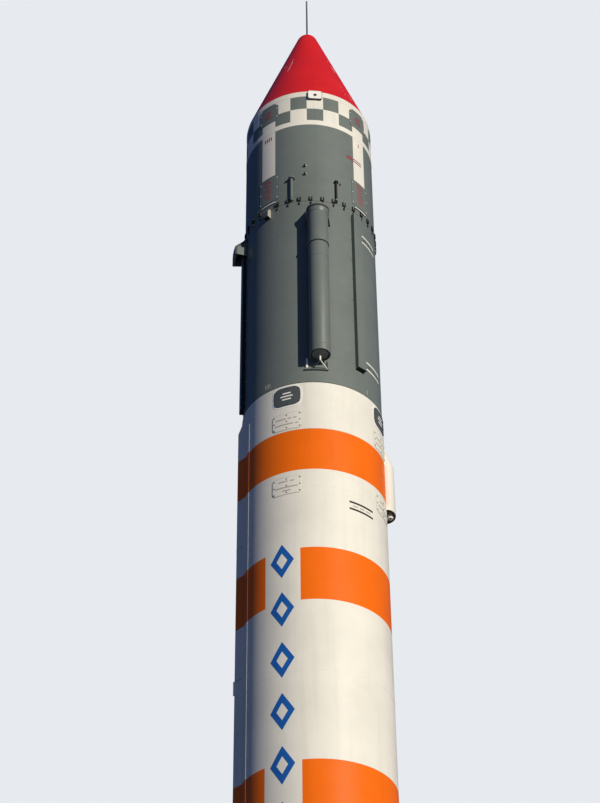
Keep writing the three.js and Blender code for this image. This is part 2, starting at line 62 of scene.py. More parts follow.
SKIN = 0.0015
PAINT_DEPTH = 0.0025
SEAM_AZIMUTH = 45
HALVES = {"a": SEAM_AZIMUTH - 90, "b": SEAM_AZIMUTH + 90}
SEAM_GAP = 0.006

# Camera: the photograph's own, found from the rings, bands and bolts in it
IMAGE_LONG_SIDE = 803
FOCAL_PIXELS = 1984.1
SENSOR = 36.0
CAMERA_AZIMUTH = 38.75
CAMERA_DISTANCE = 26.613
CAMERA_LEVEL = 1.6
CAMERA_PITCH = 38.741
CAMERA_ROLL = 0.527
CAMERA_YAW = -0.452
VIEW_LIMIT = 2000

# Light
SUN_AZIMUTH = 74.5
SUN_ELEVATION = 10.5
SUN_STRENGTH = 3.6
SUN_ANGLE = 1.0
SUN_COLOUR = (1.0, 0.94, 0.81)
FILL_COLOUR = (0.075, 0.30, 1.0)
FILL_STRENGTH = 0.155
BACKDROP_COLOUR = (0.80, 0.83, 0.87)
FLOOR_REACH = 1500

# Painted bands of the lower stage: top, low, and whether the white marked field cuts them
BANDS = (
    (21.43, 20.61, False),
    (19.10, 18.14, True),
    (15.42, 14.46, True),
    (11.74, 10.78, False),
    (8.06, 7.10, False),
    (4.38, 3.42, False),
)
FIELD = (-0.7, 28.3)

# Painted levels of the fairing
STRIPE = (27.44, 28.57)
STRIPE_HALF_ANGLE = 7.5
LOWER_RING = (28.57, 28.69)
CHEQUER_MIDDLE = 29.00
UPPER_RING = (29.33, 29.48)
COLUMN = 15

# Nose cone
CONE_LOW = 29.48
CONE_LOW_RADIUS = 1.170
TIP_RADIUS = 0.210
TIP_CENTRE = 32.130
TIP_FLAT = 32.335
CAP_LOW = 31.950
CAP_SLOPE = math.tan(math.radians(25))
FAIRING_WALL = 0.035
CAP_GAPS = {"a": 0.0005, "b": 0.007}


def span_of(node):
    """The lowest and the highest level of a CAD node."""
    low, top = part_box(node)
    return low.z, top.z


def on_circle(azimuth):
    """X and Y of a place one metre from the axis."""
    angle = math.radians(azimuth)
    return math.sin(angle), -math.cos(angle)


def at(radius, azimuth, level):
    x, y = on_circle(azimuth)
    return Vector((radius * x, radius * y, level))


def azimuth_of(point):
    return math.degrees(math.atan2(point[0], -point[1]))


def about(middle, half):
    """Both ends of a span."""
    return middle - half, middle + half


def turn_between(azimuth, centre):
    """Signed angle from centre to azimuth, from -180 to 180."""
    return (azimuth - centre + 180) % 360 - 180


def around_axis(profile, azimuths):
    """A ring of (radius, level) points at each azimuth."""
    return [[at(radius, azimuth, level) for radius, level in profile] for azimuth in azimuths]


def facing(azimuth, radius, level):
    """A place on the surface whose Z points outwards, X across and Y up."""
    x, y = on_circle(azimuth)
    out = Vector((x, y, 0))
    across = Vector((-y, x, 0))
    place = Matrix((across, Vector((0, 0, 1)), out)).transposed().to_4x4()
    place.translation = at(radius, azimuth, level)
    return place


def upright(azimuth, radius):
    """A place beside the axis whose Z points up, Y outwards and X across, against the azimuth."""
    x, y = on_circle(azimuth)
    place = Matrix(((y, x, 0), (-x, y, 0), (0, 0, 1))).to_4x4()
    place.translation = at(radius, azimuth, 0.0)
    return place


def moved(place, x, y, z):
    """The place, moved along its own axes."""
    return place @ Matrix.Translation((x, y, z))


def between(start, end):
    """A place at start whose Z points at end."""
    start, end = Vector(start), Vector(end)
    place = (end - start).to_track_quat("Z", "Y").to_matrix().to_4x4()
    place.translation = start
    return place, (end - start).length


AXIS = Matrix.Identity(4)


class Shape:
    """Points, faces and the paint of each face of one piece. Its plates and studs stand on its radius."""

    def __init__(self, radius=STAGE1_RADIUS):
        self.radius = radius
        self.points = []
        self.faces = []
        self.paints = []

    def sweep(self, rings, paint, around=False, loop=True):
        """Skin over rings of points. loop closes each ring, around joins the last ring to the first."""
        first = len(self.points)
        count = len(rings[0])
        for ring in rings:
            self.points.extend(tuple(point) for point in ring)
        pairs = len(rings) if around else len(rings) - 1
        for i in range(pairs):
            here = first + i * count
            there = first + ((i + 1) % len(rings)) * count
            for j in range(count if loop else count - 1):
                k = (j + 1) % count
                self.face([here + j, there + j, there + k, here + k], paint)
        ends = []
        if loop and not around:
            ends = [range(first, first + count), range(len(self.points) - count, len(self.points))]
        if around and not loop:
            last = first + len(rings) * count
            ends = [range(first, last, count), range(first + count - 1, last, count)]
        for end in ends:
            self.face(list(end), paint)

    def face(self, corners, paint):
        """One face, with a paint or with the function that names the paint at its middle."""
        if callable(paint):
            total = Vector((0, 0, 0))
            for index in corners:
                total += Vector(self.points[index])
            paint = paint(total / len(corners))
        self.faces.append(corners)
        self.paints.append(paint)

    def turned(self, place, profile, paint, sides, hollow=False):
        """A turned body about the place's Z axis from (radius, distance) points."""
        rings = []
        for index in range(sides):
            angle = 2 * math.pi * index / sides
            x, y = math.cos(angle), math.sin(angle)
            rings.append([place @ Vector((r * x, r * y, h)) for r, h in profile])
        self.sweep(rings, paint, around=True, loop=hollow)

    def block(self, place, xs, ys, zs, paint, bevel=0.004, corner=0.0):
        """A box in the place's own axes, with bevelled edges and, where asked, rounded corners."""
        rings = []
        steps = CORNER_STEPS if corner > bevel else 1
        reach = max(corner, bevel)
        for inset, z in ((bevel, zs[0]), (0, zs[0] + bevel), (0, zs[1] - bevel), (bevel, zs[1])):
            outline = []
            for quarter, (side_x, side_y) in enumerate(((0, 0), (1, 0), (1, 1), (0, 1))):
                x = xs[side_x] + (inset + reach) * (1 - 2 * side_x)
                y = ys[side_y] + (inset + reach) * (1 - 2 * side_y)
                for step in range(steps + 1):
                    angle = math.pi / 2 * (quarter + 2 + step / steps)
                    outline.append((x + reach * math.cos(angle), y + reach * math.sin(angle)))
            rings.append([place @ Vector((x, y, z)) for x, y in outline])
        self.sweep(rings, paint)

    def prism(self, place, outline, zs, paint):
        """An outline in the place's X and Y, drawn out along its Z."""
        self.sweep([[place @ Vector((x, y, z)) for x, y in outline] for z in zs], paint)

    def rod(self, start, end, radius, paint, sides=ROUND_SIDES):
        """A round bar with bevelled ends."""
        place, length = between(start, end)
        rim = min(radius * 0.3, length * 0.2)
        profile = [(radius - rim, 0), (radius, rim), (radius, length - rim), (radius - rim, length)]
        self.turned(place, profile, paint, sides)

    def pipe(self, points, radius, paint):
        """A round tube along a row of points."""
        points = [Vector(point) for point in points]
        angles = [2 * math.pi * k / ROUND_SIDES for k in range(ROUND_SIDES)]
        rings = []
        side = Vector((0.31, 0.47, 0.83))
        for index, point in enumerate(points):
            before = points[max(index - 1, 0)]
            after = points[min(index + 1, len(points) - 1)]
            along = (after - before).normalized()
            side = (side - along * side.dot(along)).normalized()
            other = along.cross(side)
            rings.append([point + radius * (math.cos(a) * side + math.sin(a) * other) for a in angles])
        self.sweep(rings, paint)

    def slab(self, azimuths, levels, depth, paint, reach=None, corner=0.0, bevel=0.0, sunk=SKIN):
        """A plate bent round the axis, with rounded corners. reach gives another radius at each level."""
        reach = reach or (lambda level: self.radius)
        low, top = levels
        middle = reach((low + top) / 2)
        width = math.radians(azimuths[1] - azimuths[0]) * middle
        corner = min(corner, width / 2, (top - low) / 2)
        ends = [(0.0, corner, bevel)]
        if corner > 0:
            for index in range(1, CORNER_STEPS + 1):
                angle = math.pi / 2 * index / CORNER_STEPS
                ends.append((corner * (1 - math.cos(angle)), corner * (1 - math.sin(angle)), 0.0))
        else:
            ends.append((max(bevel, LEAST_BEVEL), 0.0, 0.0))
        first, cut = ends[-1][:2]
        span = width - 2 * first
        straight = max(1, round(span / (middle * math.radians(STEP))))
        between_ends = [(first + span * index / straight, cut, 0.0) for index in range(1, straight)]
        mirrored = [(width - along, cut, drop) for along, cut, drop in reversed(ends)]
        rings = []
        for along, cut, drop in [*ends, *between_ends, *mirrored]:
            azimuth = azimuths[0] + math.degrees(along / middle)
            outer = depth - drop
            low_edge, top_edge = low + cut, top - cut
            profile = [(-sunk, low_edge), (outer - bevel, low_edge)]
            if bevel > 0:
                profile += [(outer, low_edge + bevel), (outer, top_edge - bevel)]
            profile += [(outer - bevel, top_edge), (-sunk, top_edge)]
            rings.append([at(reach(z) + r, azimuth, z) for r, z in profile])
        self.sweep(rings, paint)

    def bars(self, azimuth, middle, rows, half, depth, paint):
        """Plain bars about one place, from rows of (height above the middle, start, end)."""
        for up, start, stop in rows:
            self.slab((azimuth + start, azimuth + stop), about(middle + up, half), depth, paint)

    def stud(self, azimuth, level, size, height, paint, sides=8, radius=None):
        """A screw or rivet head that stands out from the axis."""
        profile = [(size, -SKIN), (size, height * 0.6), (size * 0.7, height)]
        self.turned(facing(azimuth, radius or self.radius, level), profile, paint, sides)


def piece(name, shape, body, replaces=()):
    """Makes the object, with one material slot for each paint that its faces name."""
    data = bpy.data.meshes.new(name)
    data.from_pydata(shape.points, [], shape.faces)
    paints = list(dict.fromkeys(shape.paints))
    for paint in paints:
        data.materials.append(MATERIALS[paint])
    data.polygons.foreach_set("material_index", [paints.index(paint) for paint in shape.paints])
    work = bmesh.new()
    work.from_mesh(data)
    bmesh.ops.recalc_face_normals(work, faces=work.faces)
    work.to_mesh(data)
    work.free()
    data.shade_smooth()
    data.set_sharp_from_angle(angle=math.radians(SHARP_ANGLE))
    obj = bpy.data.objects.new(name, data)
    bpy.context.scene.collection.objects.link(obj)
    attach(obj, body)
    if replaces:
        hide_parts(*replaces)
    return obj


def columns(start=-180.0, stop=180.0, extra=()):
    """Azimuths from start to stop every STEP degrees, with the extra ones set in."""
    count = round((stop - start) / STEP)
    regular = [start + (stop - start) * index / count for index in range(count + 1)]
    kept = [a for a in regular if all(abs(a - e) > STEP / 4 for e in extra) or a in (start, stop)]
    return sorted(kept + [e for e in extra if start < e < stop])


# Materials

class Tree:
    """A short way to write a material's nodes."""

    def __init__(self, name):
        self.material = bpy.data.materials.new(name)
        self.material.use_nodes = True
        self.nodes = self.material.node_tree.nodes
        self.links = self.material.node_tree.links
        self.shader = self.nodes["Principled BSDF"]
        self.place = self.add("ShaderNodeTexCoord").outputs["Object"]

    def add(self, kind, inputs=None, **settings):
        node = self.nodes.new(kind)
        for key, value in settings.items():
            setattr(node, key, value)
        for key, value in (inputs or {}).items():
            self.put(node.inputs[key], value)
        return node

    def put(self, socket, value):
        if isinstance(value, bpy.types.NodeSocket):
            self.links.new(value, socket)
        else:
            socket.default_value = value

    def set(self, name, value):
        self.put(self.shader.inputs[name], value)

    def noise(self, scale, detail=4.0, roughness=0.55, stretch=(1, 1, 1)):
        mapped = self.add("ShaderNodeMapping", {"Vector": self.place, "Scale": stretch})
        words = {"Vector": mapped.outputs[0], "Scale": scale, "Detail": detail, "Roughness": roughness}
        return self.add("ShaderNodeTexNoise", words).outputs["Fac"]

    def ranged(self, value, low, high, new_low=0.0, new_high=1.0):
        words = {"Value": value, "From Min": low, "From Max": high, "To Min": new_low, "To Max": new_high}
        return self.add("ShaderNodeMapRange", words).outputs["Result"]

    def tinted(self, colour, shade):
        """The colour, made lighter and darker by the shade."""
        words = {"Red": shade, "Green": shade, "Blue": shade}
        grey = self.add("ShaderNodeCombineColor", words).outputs[0]
        return self.mix(1.0, (*colour, 1), grey, "MULTIPLY")

    def mix(self, factor, first, second, blend="MIX"):
        node = self.add("ShaderNodeMix", data_type="RGBA", blend_type=blend)
        self.put(node.inputs[0], factor)
        self.put(node.inputs[6], first)
        self.put(node.inputs[7], second)
        return node.outputs[2]

    def bump(self, height, distance, strength=1.0, normal=None):
        words = {"Height": height, "Distance": distance, "Strength": strength}
        if normal is not None:
            words["Normal"] = normal
        return self.add("ShaderNodeBump", words).outputs["Normal"]


def painted(name, colour, roughness, dirt, dirt_colour=(0.10, 0.09, 0.075), fade=0.06, shine=0.35):
    """Paint on sheet metal: faded patches, rain streaks, dust, a slightly wavy skin and fine orange peel."""
    tree = Tree(name)
    patches = tree.noise(0.9, 5.0, 0.6)
    light = tree.ranged(patches, 0.3, 0.7, 1 - fade, 1 + fade)
    faded = tree.tinted(colour, light)
    streaks = tree.ranged(tree.noise(1.0, 7.0, 0.62, (7, 7, 0.35)), 0.52, 0.80)
    spots = tree.ranged(tree.noise(14.0, 6.0, 0.7), 0.60, 0.80)
    amount = tree.add("ShaderNodeMath", {0: streaks, 1: spots}, operation="MAXIMUM").outputs[0]
    amount = tree.add("ShaderNodeMath", {0: amount, 1: dirt}, operation="MULTIPLY").outputs[0]
    tree.set("Base Color", tree.mix(amount, faded, (*dirt_colour, 1)))
    rough = tree.ranged(tree.noise(5.0, 6.0, 0.6), 0.3, 0.7, roughness - 0.06, roughness + 0.10)
    tree.set("Roughness", rough)
    waves = tree.bump(tree.noise(1.6, 2.0, 0.4), 0.003)
    peel = tree.bump(tree.noise(320.0, 2.0, 0.5), 0.0002, 0.5, waves)
    tree.set("Normal", peel)
    tree.set("Specular IOR Level", shine)
    return tree.material


def metal(name, colour, roughness, stain=(0.12, 0.08, 0.05), stained=0.3):
    """Bare metal with brushed grain, heat or weather stains and uneven gloss."""
    tree = Tree(name)
    lines = tree.noise(60.0, 4.0, 0.6, (1, 1, 12))
    stains = tree.ranged(tree.noise(3.0, 7.0, 0.65), 0.45, 0.75, 0.0, stained)
    shade = tree.ranged(lines, 0.3, 0.7, 0.86, 1.08)
    tree.set("Base Color", tree.mix(stains, tree.tinted(colour, shade), (*stain, 1)))
    tree.set("Roughness", tree.ranged(lines, 0.3, 0.7, roughness - 0.08, roughness + 0.12))
    tree.set("Metallic", 0.9)
    tree.set("Normal", tree.bump(lines, 0.0004, 0.4))
    return tree.material


def graphite(name):
    """Pressed graphite: nearly black, grainy, with paler rubbed places."""
    tree = Tree(name)
    rubbed = tree.ranged(tree.noise(9.0, 6.0, 0.7), 0.5, 0.8, 0.0, 0.5)
    tree.set("Base Color", tree.mix(rubbed, (0.022, 0.023, 0.026, 1), (0.09, 0.09, 0.095, 1)))
    tree.set("Roughness", tree.ranged(tree.noise(40.0), 0.3, 0.7, 0.55, 0.8))
    tree.set("Normal", tree.bump(tree.noise(220.0, 3.0), 0.0006, 0.6))
    return tree.material


def plain_floor(name):
    """A matt floor that looks pale to the camera and reflects less light on to the object."""
    tree = Tree(name)
    tree.set("Base Color", tree.mix(tree.noise(0.4, 3.0), (0.36, 0.375, 0.39, 1), (0.40, 0.415, 0.43, 1)))
    tree.set("Roughness", 0.9)
    matt = tree.shader.outputs[0]
    glow = tree.add("ShaderNodeEmission", {"Color": (0.48, 0.46, 0.42, 1), "Strength": 0.9}).outputs[0]
    seen = tree.add("ShaderNodeAddShader", {0: matt, 1: glow}).outputs[0]
    by_camera = tree.add("ShaderNodeLightPath").outputs["Is Camera Ray"]
    chosen = tree.add("ShaderNodeMixShader", {0: by_camera, 1: matt, 2: seen}).outputs[0]
    tree.put(tree.nodes["Material Output"].inputs["Surface"], chosen)
    return tree.material


MATERIALS = {
    "white": painted("cream_white_paint", (0.80, 0.765, 0.68), 0.40, 0.10),
    # Bright white: white paint, and also painted highlights on the bottle brackets and the seam eyes
    "bright": painted("bright_white_and_painted_highlight", (0.88, 0.86, 0.80), 0.38, 0.06),
    "orange": painted("orange_paint", (0.88, 0.152, 0.003), 0.42, 0.12, (0.20, 0.04, 0.005), shine=0.18),
    "grey": painted("mid_grey_paint", (0.150, 0.172, 0.160), 0.45, 0.20, (0.22, 0.22, 0.21), 0.08),
    "dark_grey": painted("dark_grey_paint", (0.078, 0.090, 0.093), 0.45, 0.20, (0.15, 0.15, 0.145)),
    "line": painted("outline_grey", (0.070, 0.074, 0.074), 0.5, 0.10, (0.12, 0.12, 0.12)),
    "red": painted("red_paint", (0.68, 0.016, 0.014), 0.38, 0.16, (0.33, 0.03, 0.02), 0.10, shine=0.24),
    "mark_red": painted("faded_red_marks", (0.30, 0.050, 0.060), 0.5, 0.45, (0.16, 0.17, 0.16), 0.2),
    "blue": painted("blue_paint", (0.012, 0.110, 0.42), 0.4, 0.08, (0.10, 0.14, 0.22)),
    "black": painted("black_marks", (0.035, 0.030, 0.026), 0.5, 0.2, (0.12, 0.11, 0.10)),
    "trace": painted("cover_outline", (0.60, 0.565, 0.49), 0.5, 0.15),
    "brown": painted("brown_seal", (0.13, 0.045, 0.018), 0.6, 0.3),
    # Pale grey: worn marks and ticks, and also a painted highlight on the joint brackets
    "faint": painted("worn_marks_and_painted_highlight", (0.42, 0.39, 0.34), 0.5, 0.3, (0.30, 0.27, 0.23)),
    # Near-black: dark joints and lines, and also painted shade in hollows, under rims and on shaded flanks
    "gap": painted("dark_joints_and_painted_shade", (0.020, 0.020, 0.020), 0.7, 0.1),
    # Very dark: painted shade inside the vent pod, the pipe's bore, the bottle feet and the engine bells, and
    # on the stage behind the vent pipe
    "painted_shade": painted("painted_shade_dark", (0.028, 0.026, 0.022), 0.6, 0.3, (0.06, 0.05, 0.04)),
    "scratch": painted("scratched_primer", (0.80, 0.52, 0.48), 0.6, 0.25, (0.62, 0.10, 0.10), 0.2),
    "primer": painted("green_primer", (0.24, 0.29, 0.17), 0.6, 0.3, (0.10, 0.10, 0.07), 0.12),
    "support": painted("support_paint", (0.11, 0.115, 0.12), 0.5, 0.5, (0.16, 0.09, 0.05), 0.12),
    "bolt": metal("zinc_bolts", (0.52, 0.52, 0.50), 0.35),
    "steel": metal("dull_steel", (0.44, 0.44, 0.43), 0.34),
    "nozzle": metal("heat_tinted_steel", (0.34, 0.29, 0.26), 0.36, (0.10, 0.07, 0.10), 0.6),
    "copper": metal("copper_pipe", (0.50, 0.26, 0.15), 0.34, (0.10, 0.12, 0.08), 0.5),
    "rod": metal("weathered_rod", (0.46, 0.46, 0.43), 0.42, (0.26, 0.24, 0.20), 0.5),
    "graphite": graphite("graphite"),
}


# Lower stage

def in_band(azimuth, level):
    """Whether an orange band covers the place."""
    for top, low, cut in BANDS:
        if low < level < top:
            return not (cut and FIELD[0] < azimuth < FIELD[1])
    return False


def stage1_paint(point):
    """White with orange bands."""
    return "orange" if in_band(azimuth_of(point), point[2]) else "white"


def band_levels(low, top):
    """The edges of the orange bands between two levels."""
    levels = [level for band in BANDS for level in band[:2]]
    return sorted(level for level in levels if low + 0.02 < level < top - 0.02)


def drum_skin(node, radius, paint, levels, extra=(), edge=EDGE):
    """A cylinder section in place of its CAD node, with a fine bevel where it meets its neighbours."""
    low, top = span_of(node)
    profile = [(radius - edge, low), (radius, low + edge)]
    profile += [(radius, level) for level in levels]
    profile += [(radius, top - edge), (radius - edge, top)]
    shape = Shape(radius)
    shape.sweep(around_axis(profile, columns(extra=extra)[:-1]), paint, around=True, loop=False)
    return shape, low, top


RIVET_HEIGHT = 0.003


def rivet_row(shape, level, count, size):
    """Small rivets all the way round."""
    for index in range(count):
        shape.stud(-180 + 360 * (index + 0.5) / count, level, size, RIVET_HEIGHT, "white", 6)


COVER_EDGE = 0.012
COVER_DEPTHS = (0.0035, 0.008)
COVER_CORNERS = (0.075, 0.065)
COVER_SCREW = 0.013
COVER_SCREW_TURN = 2.0
COVER_SCREW_INSET = 0.045
COVER_BAR_HALF = 0.011
COVER_BAR_DEPTH = 0.0095


def cover(shape, centre, half_angle, low, top, bars):
    """A raised cover with its dark outline, nine fasteners and plain worn bars."""
    turn = math.degrees(COVER_EDGE / STAGE1_RADIUS)
    (rim_depth, depth), (rim_corner, corner) = COVER_DEPTHS, COVER_CORNERS
    shape.slab(about(centre, half_angle), (low, top), rim_depth, "trace", corner=rim_corner)
    inner = (centre - half_angle + turn, centre + half_angle - turn)
    levels = (low + COVER_EDGE, top - COVER_EDGE)
    shape.slab(inner, levels, depth, "white", corner=corner, bevel=0.002)
    middle, half = (low + top) / 2, (top - low) / 2
    for up in (1, 0, -1):
        for across in (-1, 0, 1):
            azimuth = centre + across * (half_angle - COVER_SCREW_TURN)
            level = middle + up * (half - COVER_SCREW_INSET)
            shape.stud(azimuth, level, COVER_SCREW, COVER_SCREW, "black")
    shape.bars(centre, middle, bars, COVER_BAR_HALF, COVER_BAR_DEPTH, "faint")


COVER_ROWS = (
    # centre, half angle, low, top, bars as (height from the middle, start, end)
    (18.1, 12.7, 21.46, 21.81, (
        (0.055, -9.5, -0.5), (0.055, 1.0, 4.0), (0.055, 5.5, 8.5), (-0.060, -10, 5.5), (-0.060, 7.0, 9.5),
    )),
    (17.9, 12.5, 20.16, 20.51, (
        (0.085, -6.5, 1.0), (0.085, 3.0, 6.0), (-0.030, -9.5, 9.0), (-0.095, -3.5, 3.5),
    )),
)


def plane_ticks(shape, count, azimuth, levels, paint, width, pitch):
    """Upright ticks that number a plane."""
    half = math.degrees(width / 2 / shape.radius)
    for index in range(count):
        middle = azimuth + math.degrees((index - (count - 1) / 2) * pitch / shape.radius)
        shape.slab(about(middle, half), levels, PAINT_DEPTH, paint)


# Double lines with a worn bar between: azimuths, two levels, line thickness
STAGE1_DOUBLE_LINES = ((67.0, 90.4), (20.06, 19.93), 0.034)
STAGE1_WORN_BARS = ((0.0, 3, 8), (0.0, 9.5, 14), (0.0, 15.5, 20))
STAGE1_WORN_BAR_HALF = 0.011

# Hollow diamonds in the white marked field
MARK_TOPS = (19.22, 18.34, 17.45, 16.57, 15.69, 14.80)
MARK_HEIGHT = 0.62
MARK_WIDTH = 0.40
MARK_STROKE = 0.088
MARK_AZIMUTH = 13.9


def diamond(shape, top):
    """A plain hollow diamond, painted on."""
    corners = ((0, 0), (1, 1), (0, 2), (-1, 1))
    steps = 6
    inner = 1 - MARK_STROKE * math.hypot(1 / MARK_WIDTH, 1 / MARK_HEIGHT) * 2
    rings = []
    for (x0, y0), (x1, y1) in zip(corners, corners[1:] + corners[:1]):
        for step in range(steps):
            x = x0 + (x1 - x0) * step / steps
            y = y0 + (y1 - y0) * step / steps - 1
            ring = []
            for share, depth in ((1, -SKIN), (1, PAINT_DEPTH), (inner, PAINT_DEPTH), (inner, -SKIN)):
                turn = math.degrees(x * share * MARK_WIDTH / 2 / STAGE1_RADIUS)
                level = top - MARK_HEIGHT + MARK_HEIGHT / 2 * (1 + y * share)
                ring.append(at(STAGE1_RADIUS + depth, MARK_AZIMUTH + turn, level))
            rings.append(ring)
    shape.sweep(rings, "blue", around=True)


def make_stage1():
    """The tanks, the intertank, the interstage skirt and everything that stands on them."""
    for node in ("stage1_fuel_tank", "stage1_intertank", "stage1_oxidiser_tank", "interstage_skirt"):
        shape, low, top = drum_skin(node, STAGE1_RADIUS, stage1_paint, band_levels(*span_of(node)), FIELD)
        if node == "stage1_intertank":
            stringers(shape, low, top)
        piece(f"{node}_skin", shape, "vehicle", (node,))
    make_covers()
    make_stage1_marks()
    make_weld_seams()
    make_stage1_raceway()
    make_vent_pod()
    make_vent_pipe()
    make_hatches()


STRINGER_AZIMUTHS = range(-18, 288, 6)
STRINGER_HALF_ANGLE = 0.55
STRINGER_INSET = 0.12
STRINGER_DEPTH = 0.008
INTERTANK_RIVETS = 96
INTERTANK_RIVET = 0.008
INTERTANK_RIVET_INSET = 0.05


def stringers(shape, low, top):
    """Shallow outside ribs and two rows of rivets round the intertank, clear of the raceway."""
    levels = (low + STRINGER_INSET, top - STRINGER_INSET)
    for azimuth in STRINGER_AZIMUTHS:
        shape.slab(about(azimuth, STRINGER_HALF_ANGLE), levels, STRINGER_DEPTH, "white", bevel=0.003)
    for level in (low + INTERTANK_RIVET_INSET, top - INTERTANK_RIVET_INSET):
        rivet_row(shape, level, INTERTANK_RIVETS, INTERTANK_RIVET)


def make_covers():
    """Two rows of covers beside each hatch plane."""
    for number, plane in enumerate(HATCH_PLANES, 1):
        shape = Shape()
        for centre, *row in COVER_ROWS:
            cover(shape, plane + centre, *row)
        piece(f"tank_covers_{number}", shape, "vehicle")


def make_stage1_marks():
    """The double lines with their worn bars, and the column of diamonds."""
    shape = Shape()
    azimuths, levels, thick = STAGE1_DOUBLE_LINES
    for plane in (0, 180):
        turned = tuple(azimuth + plane for azimuth in azimuths)
        for level in levels:
            shape.slab(turned, about(level, thick / 2), PAINT_DEPTH, "gap")
        between_lines = sum(levels) / 2
        shape.bars(turned[0], between_lines, STAGE1_WORN_BARS, STAGE1_WORN_BAR_HALF, PAINT_DEPTH, "faint")
    for top in MARK_TOPS:
        diamond(shape, top)
    piece("stage1_markings", shape, "vehicle")


WELD_SEAMS = (
    # azimuth, low, top
    (54.2, 20.3, 22.39),
    (144.2, 20.3, 22.39),
    (234.2, 20.3, 22.39),
    (96, 2.35, 8.95),
    (216, 2.35, 8.95),
)
WELD_RINGS = (3.02, 5.6, 10.4, 12.6, 14.1, 16.9, 20.28)
WELD_RING_ENDS = (-29.6, 287.6)
WELD_HALF = 0.007
WELD_DEPTH = 0.0014
WELD_RING_HALF = 0.006
WELD_RING_DEPTH = 0.0012


def make_weld_seams():
    """Slightly raised seams, painted like the skin that they run over."""
    shape = Shape()
    half = math.degrees(WELD_HALF / STAGE1_RADIUS)
    for azimuth, low, top in WELD_SEAMS:
        stops = [low, *band_levels(low, top), top]
        for levels in zip(stops, stops[1:]):
            shape.slab(about(azimuth, half), levels, WELD_DEPTH, stage1_paint)
    for level in WELD_RINGS:
        shape.slab(WELD_RING_ENDS, about(level, WELD_RING_HALF), WELD_RING_DEPTH, stage1_paint)
    piece("weld_seams", shape, "vehicle")


RACEWAY_HALF = 0.430
RACEWAY_FACE = 0.300
RACEWAY_ROOT = 1.129
RACEWAY_OUTER = 1.249
RACEWAY_LOW_SLOPE = 0.120
RACEWAY_TOP_SLOPE = 0.255
RACEWAY_TOP_SCREW = 21.791
RACEWAY_SCREW_PITCH = 0.609
RACEWAY_SCREWS_PER_LENGTH = 4
RACEWAY_CLIP = (17.02, 17.24)
RACEWAY_RAIL = (-25, -21.6)
RACEWAY_RAIL_DEPTH = 0.010
RACEWAY_RAIL_INSET = 0.1
RACEWAY_JOINT_HALF = 0.003
RACEWAY_JOINT_DEPTHS = (-0.002, 0.001)
RACEWAY_SCREWS_ACROSS = (0.05 - RACEWAY_FACE, -0.09, 0.09, RACEWAY_FACE - 0.05)
RACEWAY_SCREW_SHIFTS = (-0.022, 0.022)


def raceway_skin(shape, place, low, top):
    """The raceway's flat face and slanted flanks, sloped at both ends."""
    half, face, outer, root = RACEWAY_HALF, RACEWAY_FACE, RACEWAY_OUTER, RACEWAY_ROOT
    slope_top = top - RACEWAY_TOP_SLOPE
    levels = [low, low + RACEWAY_LOW_SLOPE / 2, low + RACEWAY_LOW_SLOPE]
    levels += [level for level in band_levels(low, top) if level < slope_top]
    levels += [slope_top + RACEWAY_TOP_SLOPE * share for share in (0, 1 / 3, 2 / 3, 1)]
    steps = 12
    rings = []
    for level in levels:
        share = max(0.02, min(1, (level - low) / RACEWAY_LOW_SLOPE, (top - level) / RACEWAY_TOP_SLOPE))
        crest = root + (outer - root) * share
        reach = half - (half - face) * share
        flat = [(reach * (2 * step / steps - 1), crest) for step in range(steps + 1)]
        cover_line = []
        foot_line = []
        for x, out in [(-half, root), *flat, (half, root)]:
            ground = math.sqrt(STAGE1_RADIUS ** 2 - x ** 2) - 0.003
            cover_line.append(place @ Vector((x, level, max(out, ground + 0.0015))))
            foot_line.append(place @ Vector((x, level, ground)))
        rings.append(cover_line + foot_line[::-1])
    shape.sweep(rings, stage1_paint)


def raceway_joint(shape, place, flanks, level, below):
    """The gap between two lengths of the raceway's cover, with a row of screws on either side."""
    face, outer = RACEWAY_FACE, RACEWAY_OUTER
    width = math.hypot(RACEWAY_HALF - face, outer - RACEWAY_ROOT)
    on_flank = (-width * 0.46, width * 0.46)
    on_face = [outer + depth for depth in RACEWAY_JOINT_DEPTHS]
    for flank in flanks:
        levels = about(below, RACEWAY_JOINT_HALF)
        shape.block(flank, on_flank, levels, RACEWAY_JOINT_DEPTHS, "gap", 0.0003)
    shape.block(place, (-face, face), about(level, RACEWAY_JOINT_HALF), on_face, "gap", 0.0003)
    for x in RACEWAY_SCREWS_ACROSS:
        for shift in RACEWAY_SCREW_SHIFTS:
            spot = moved(place, x, level + shift, outer)
            shape.turned(spot, [(0.007, -0.001), (0.007, 0.002), (0.005, 0.004)], "bolt", 6)


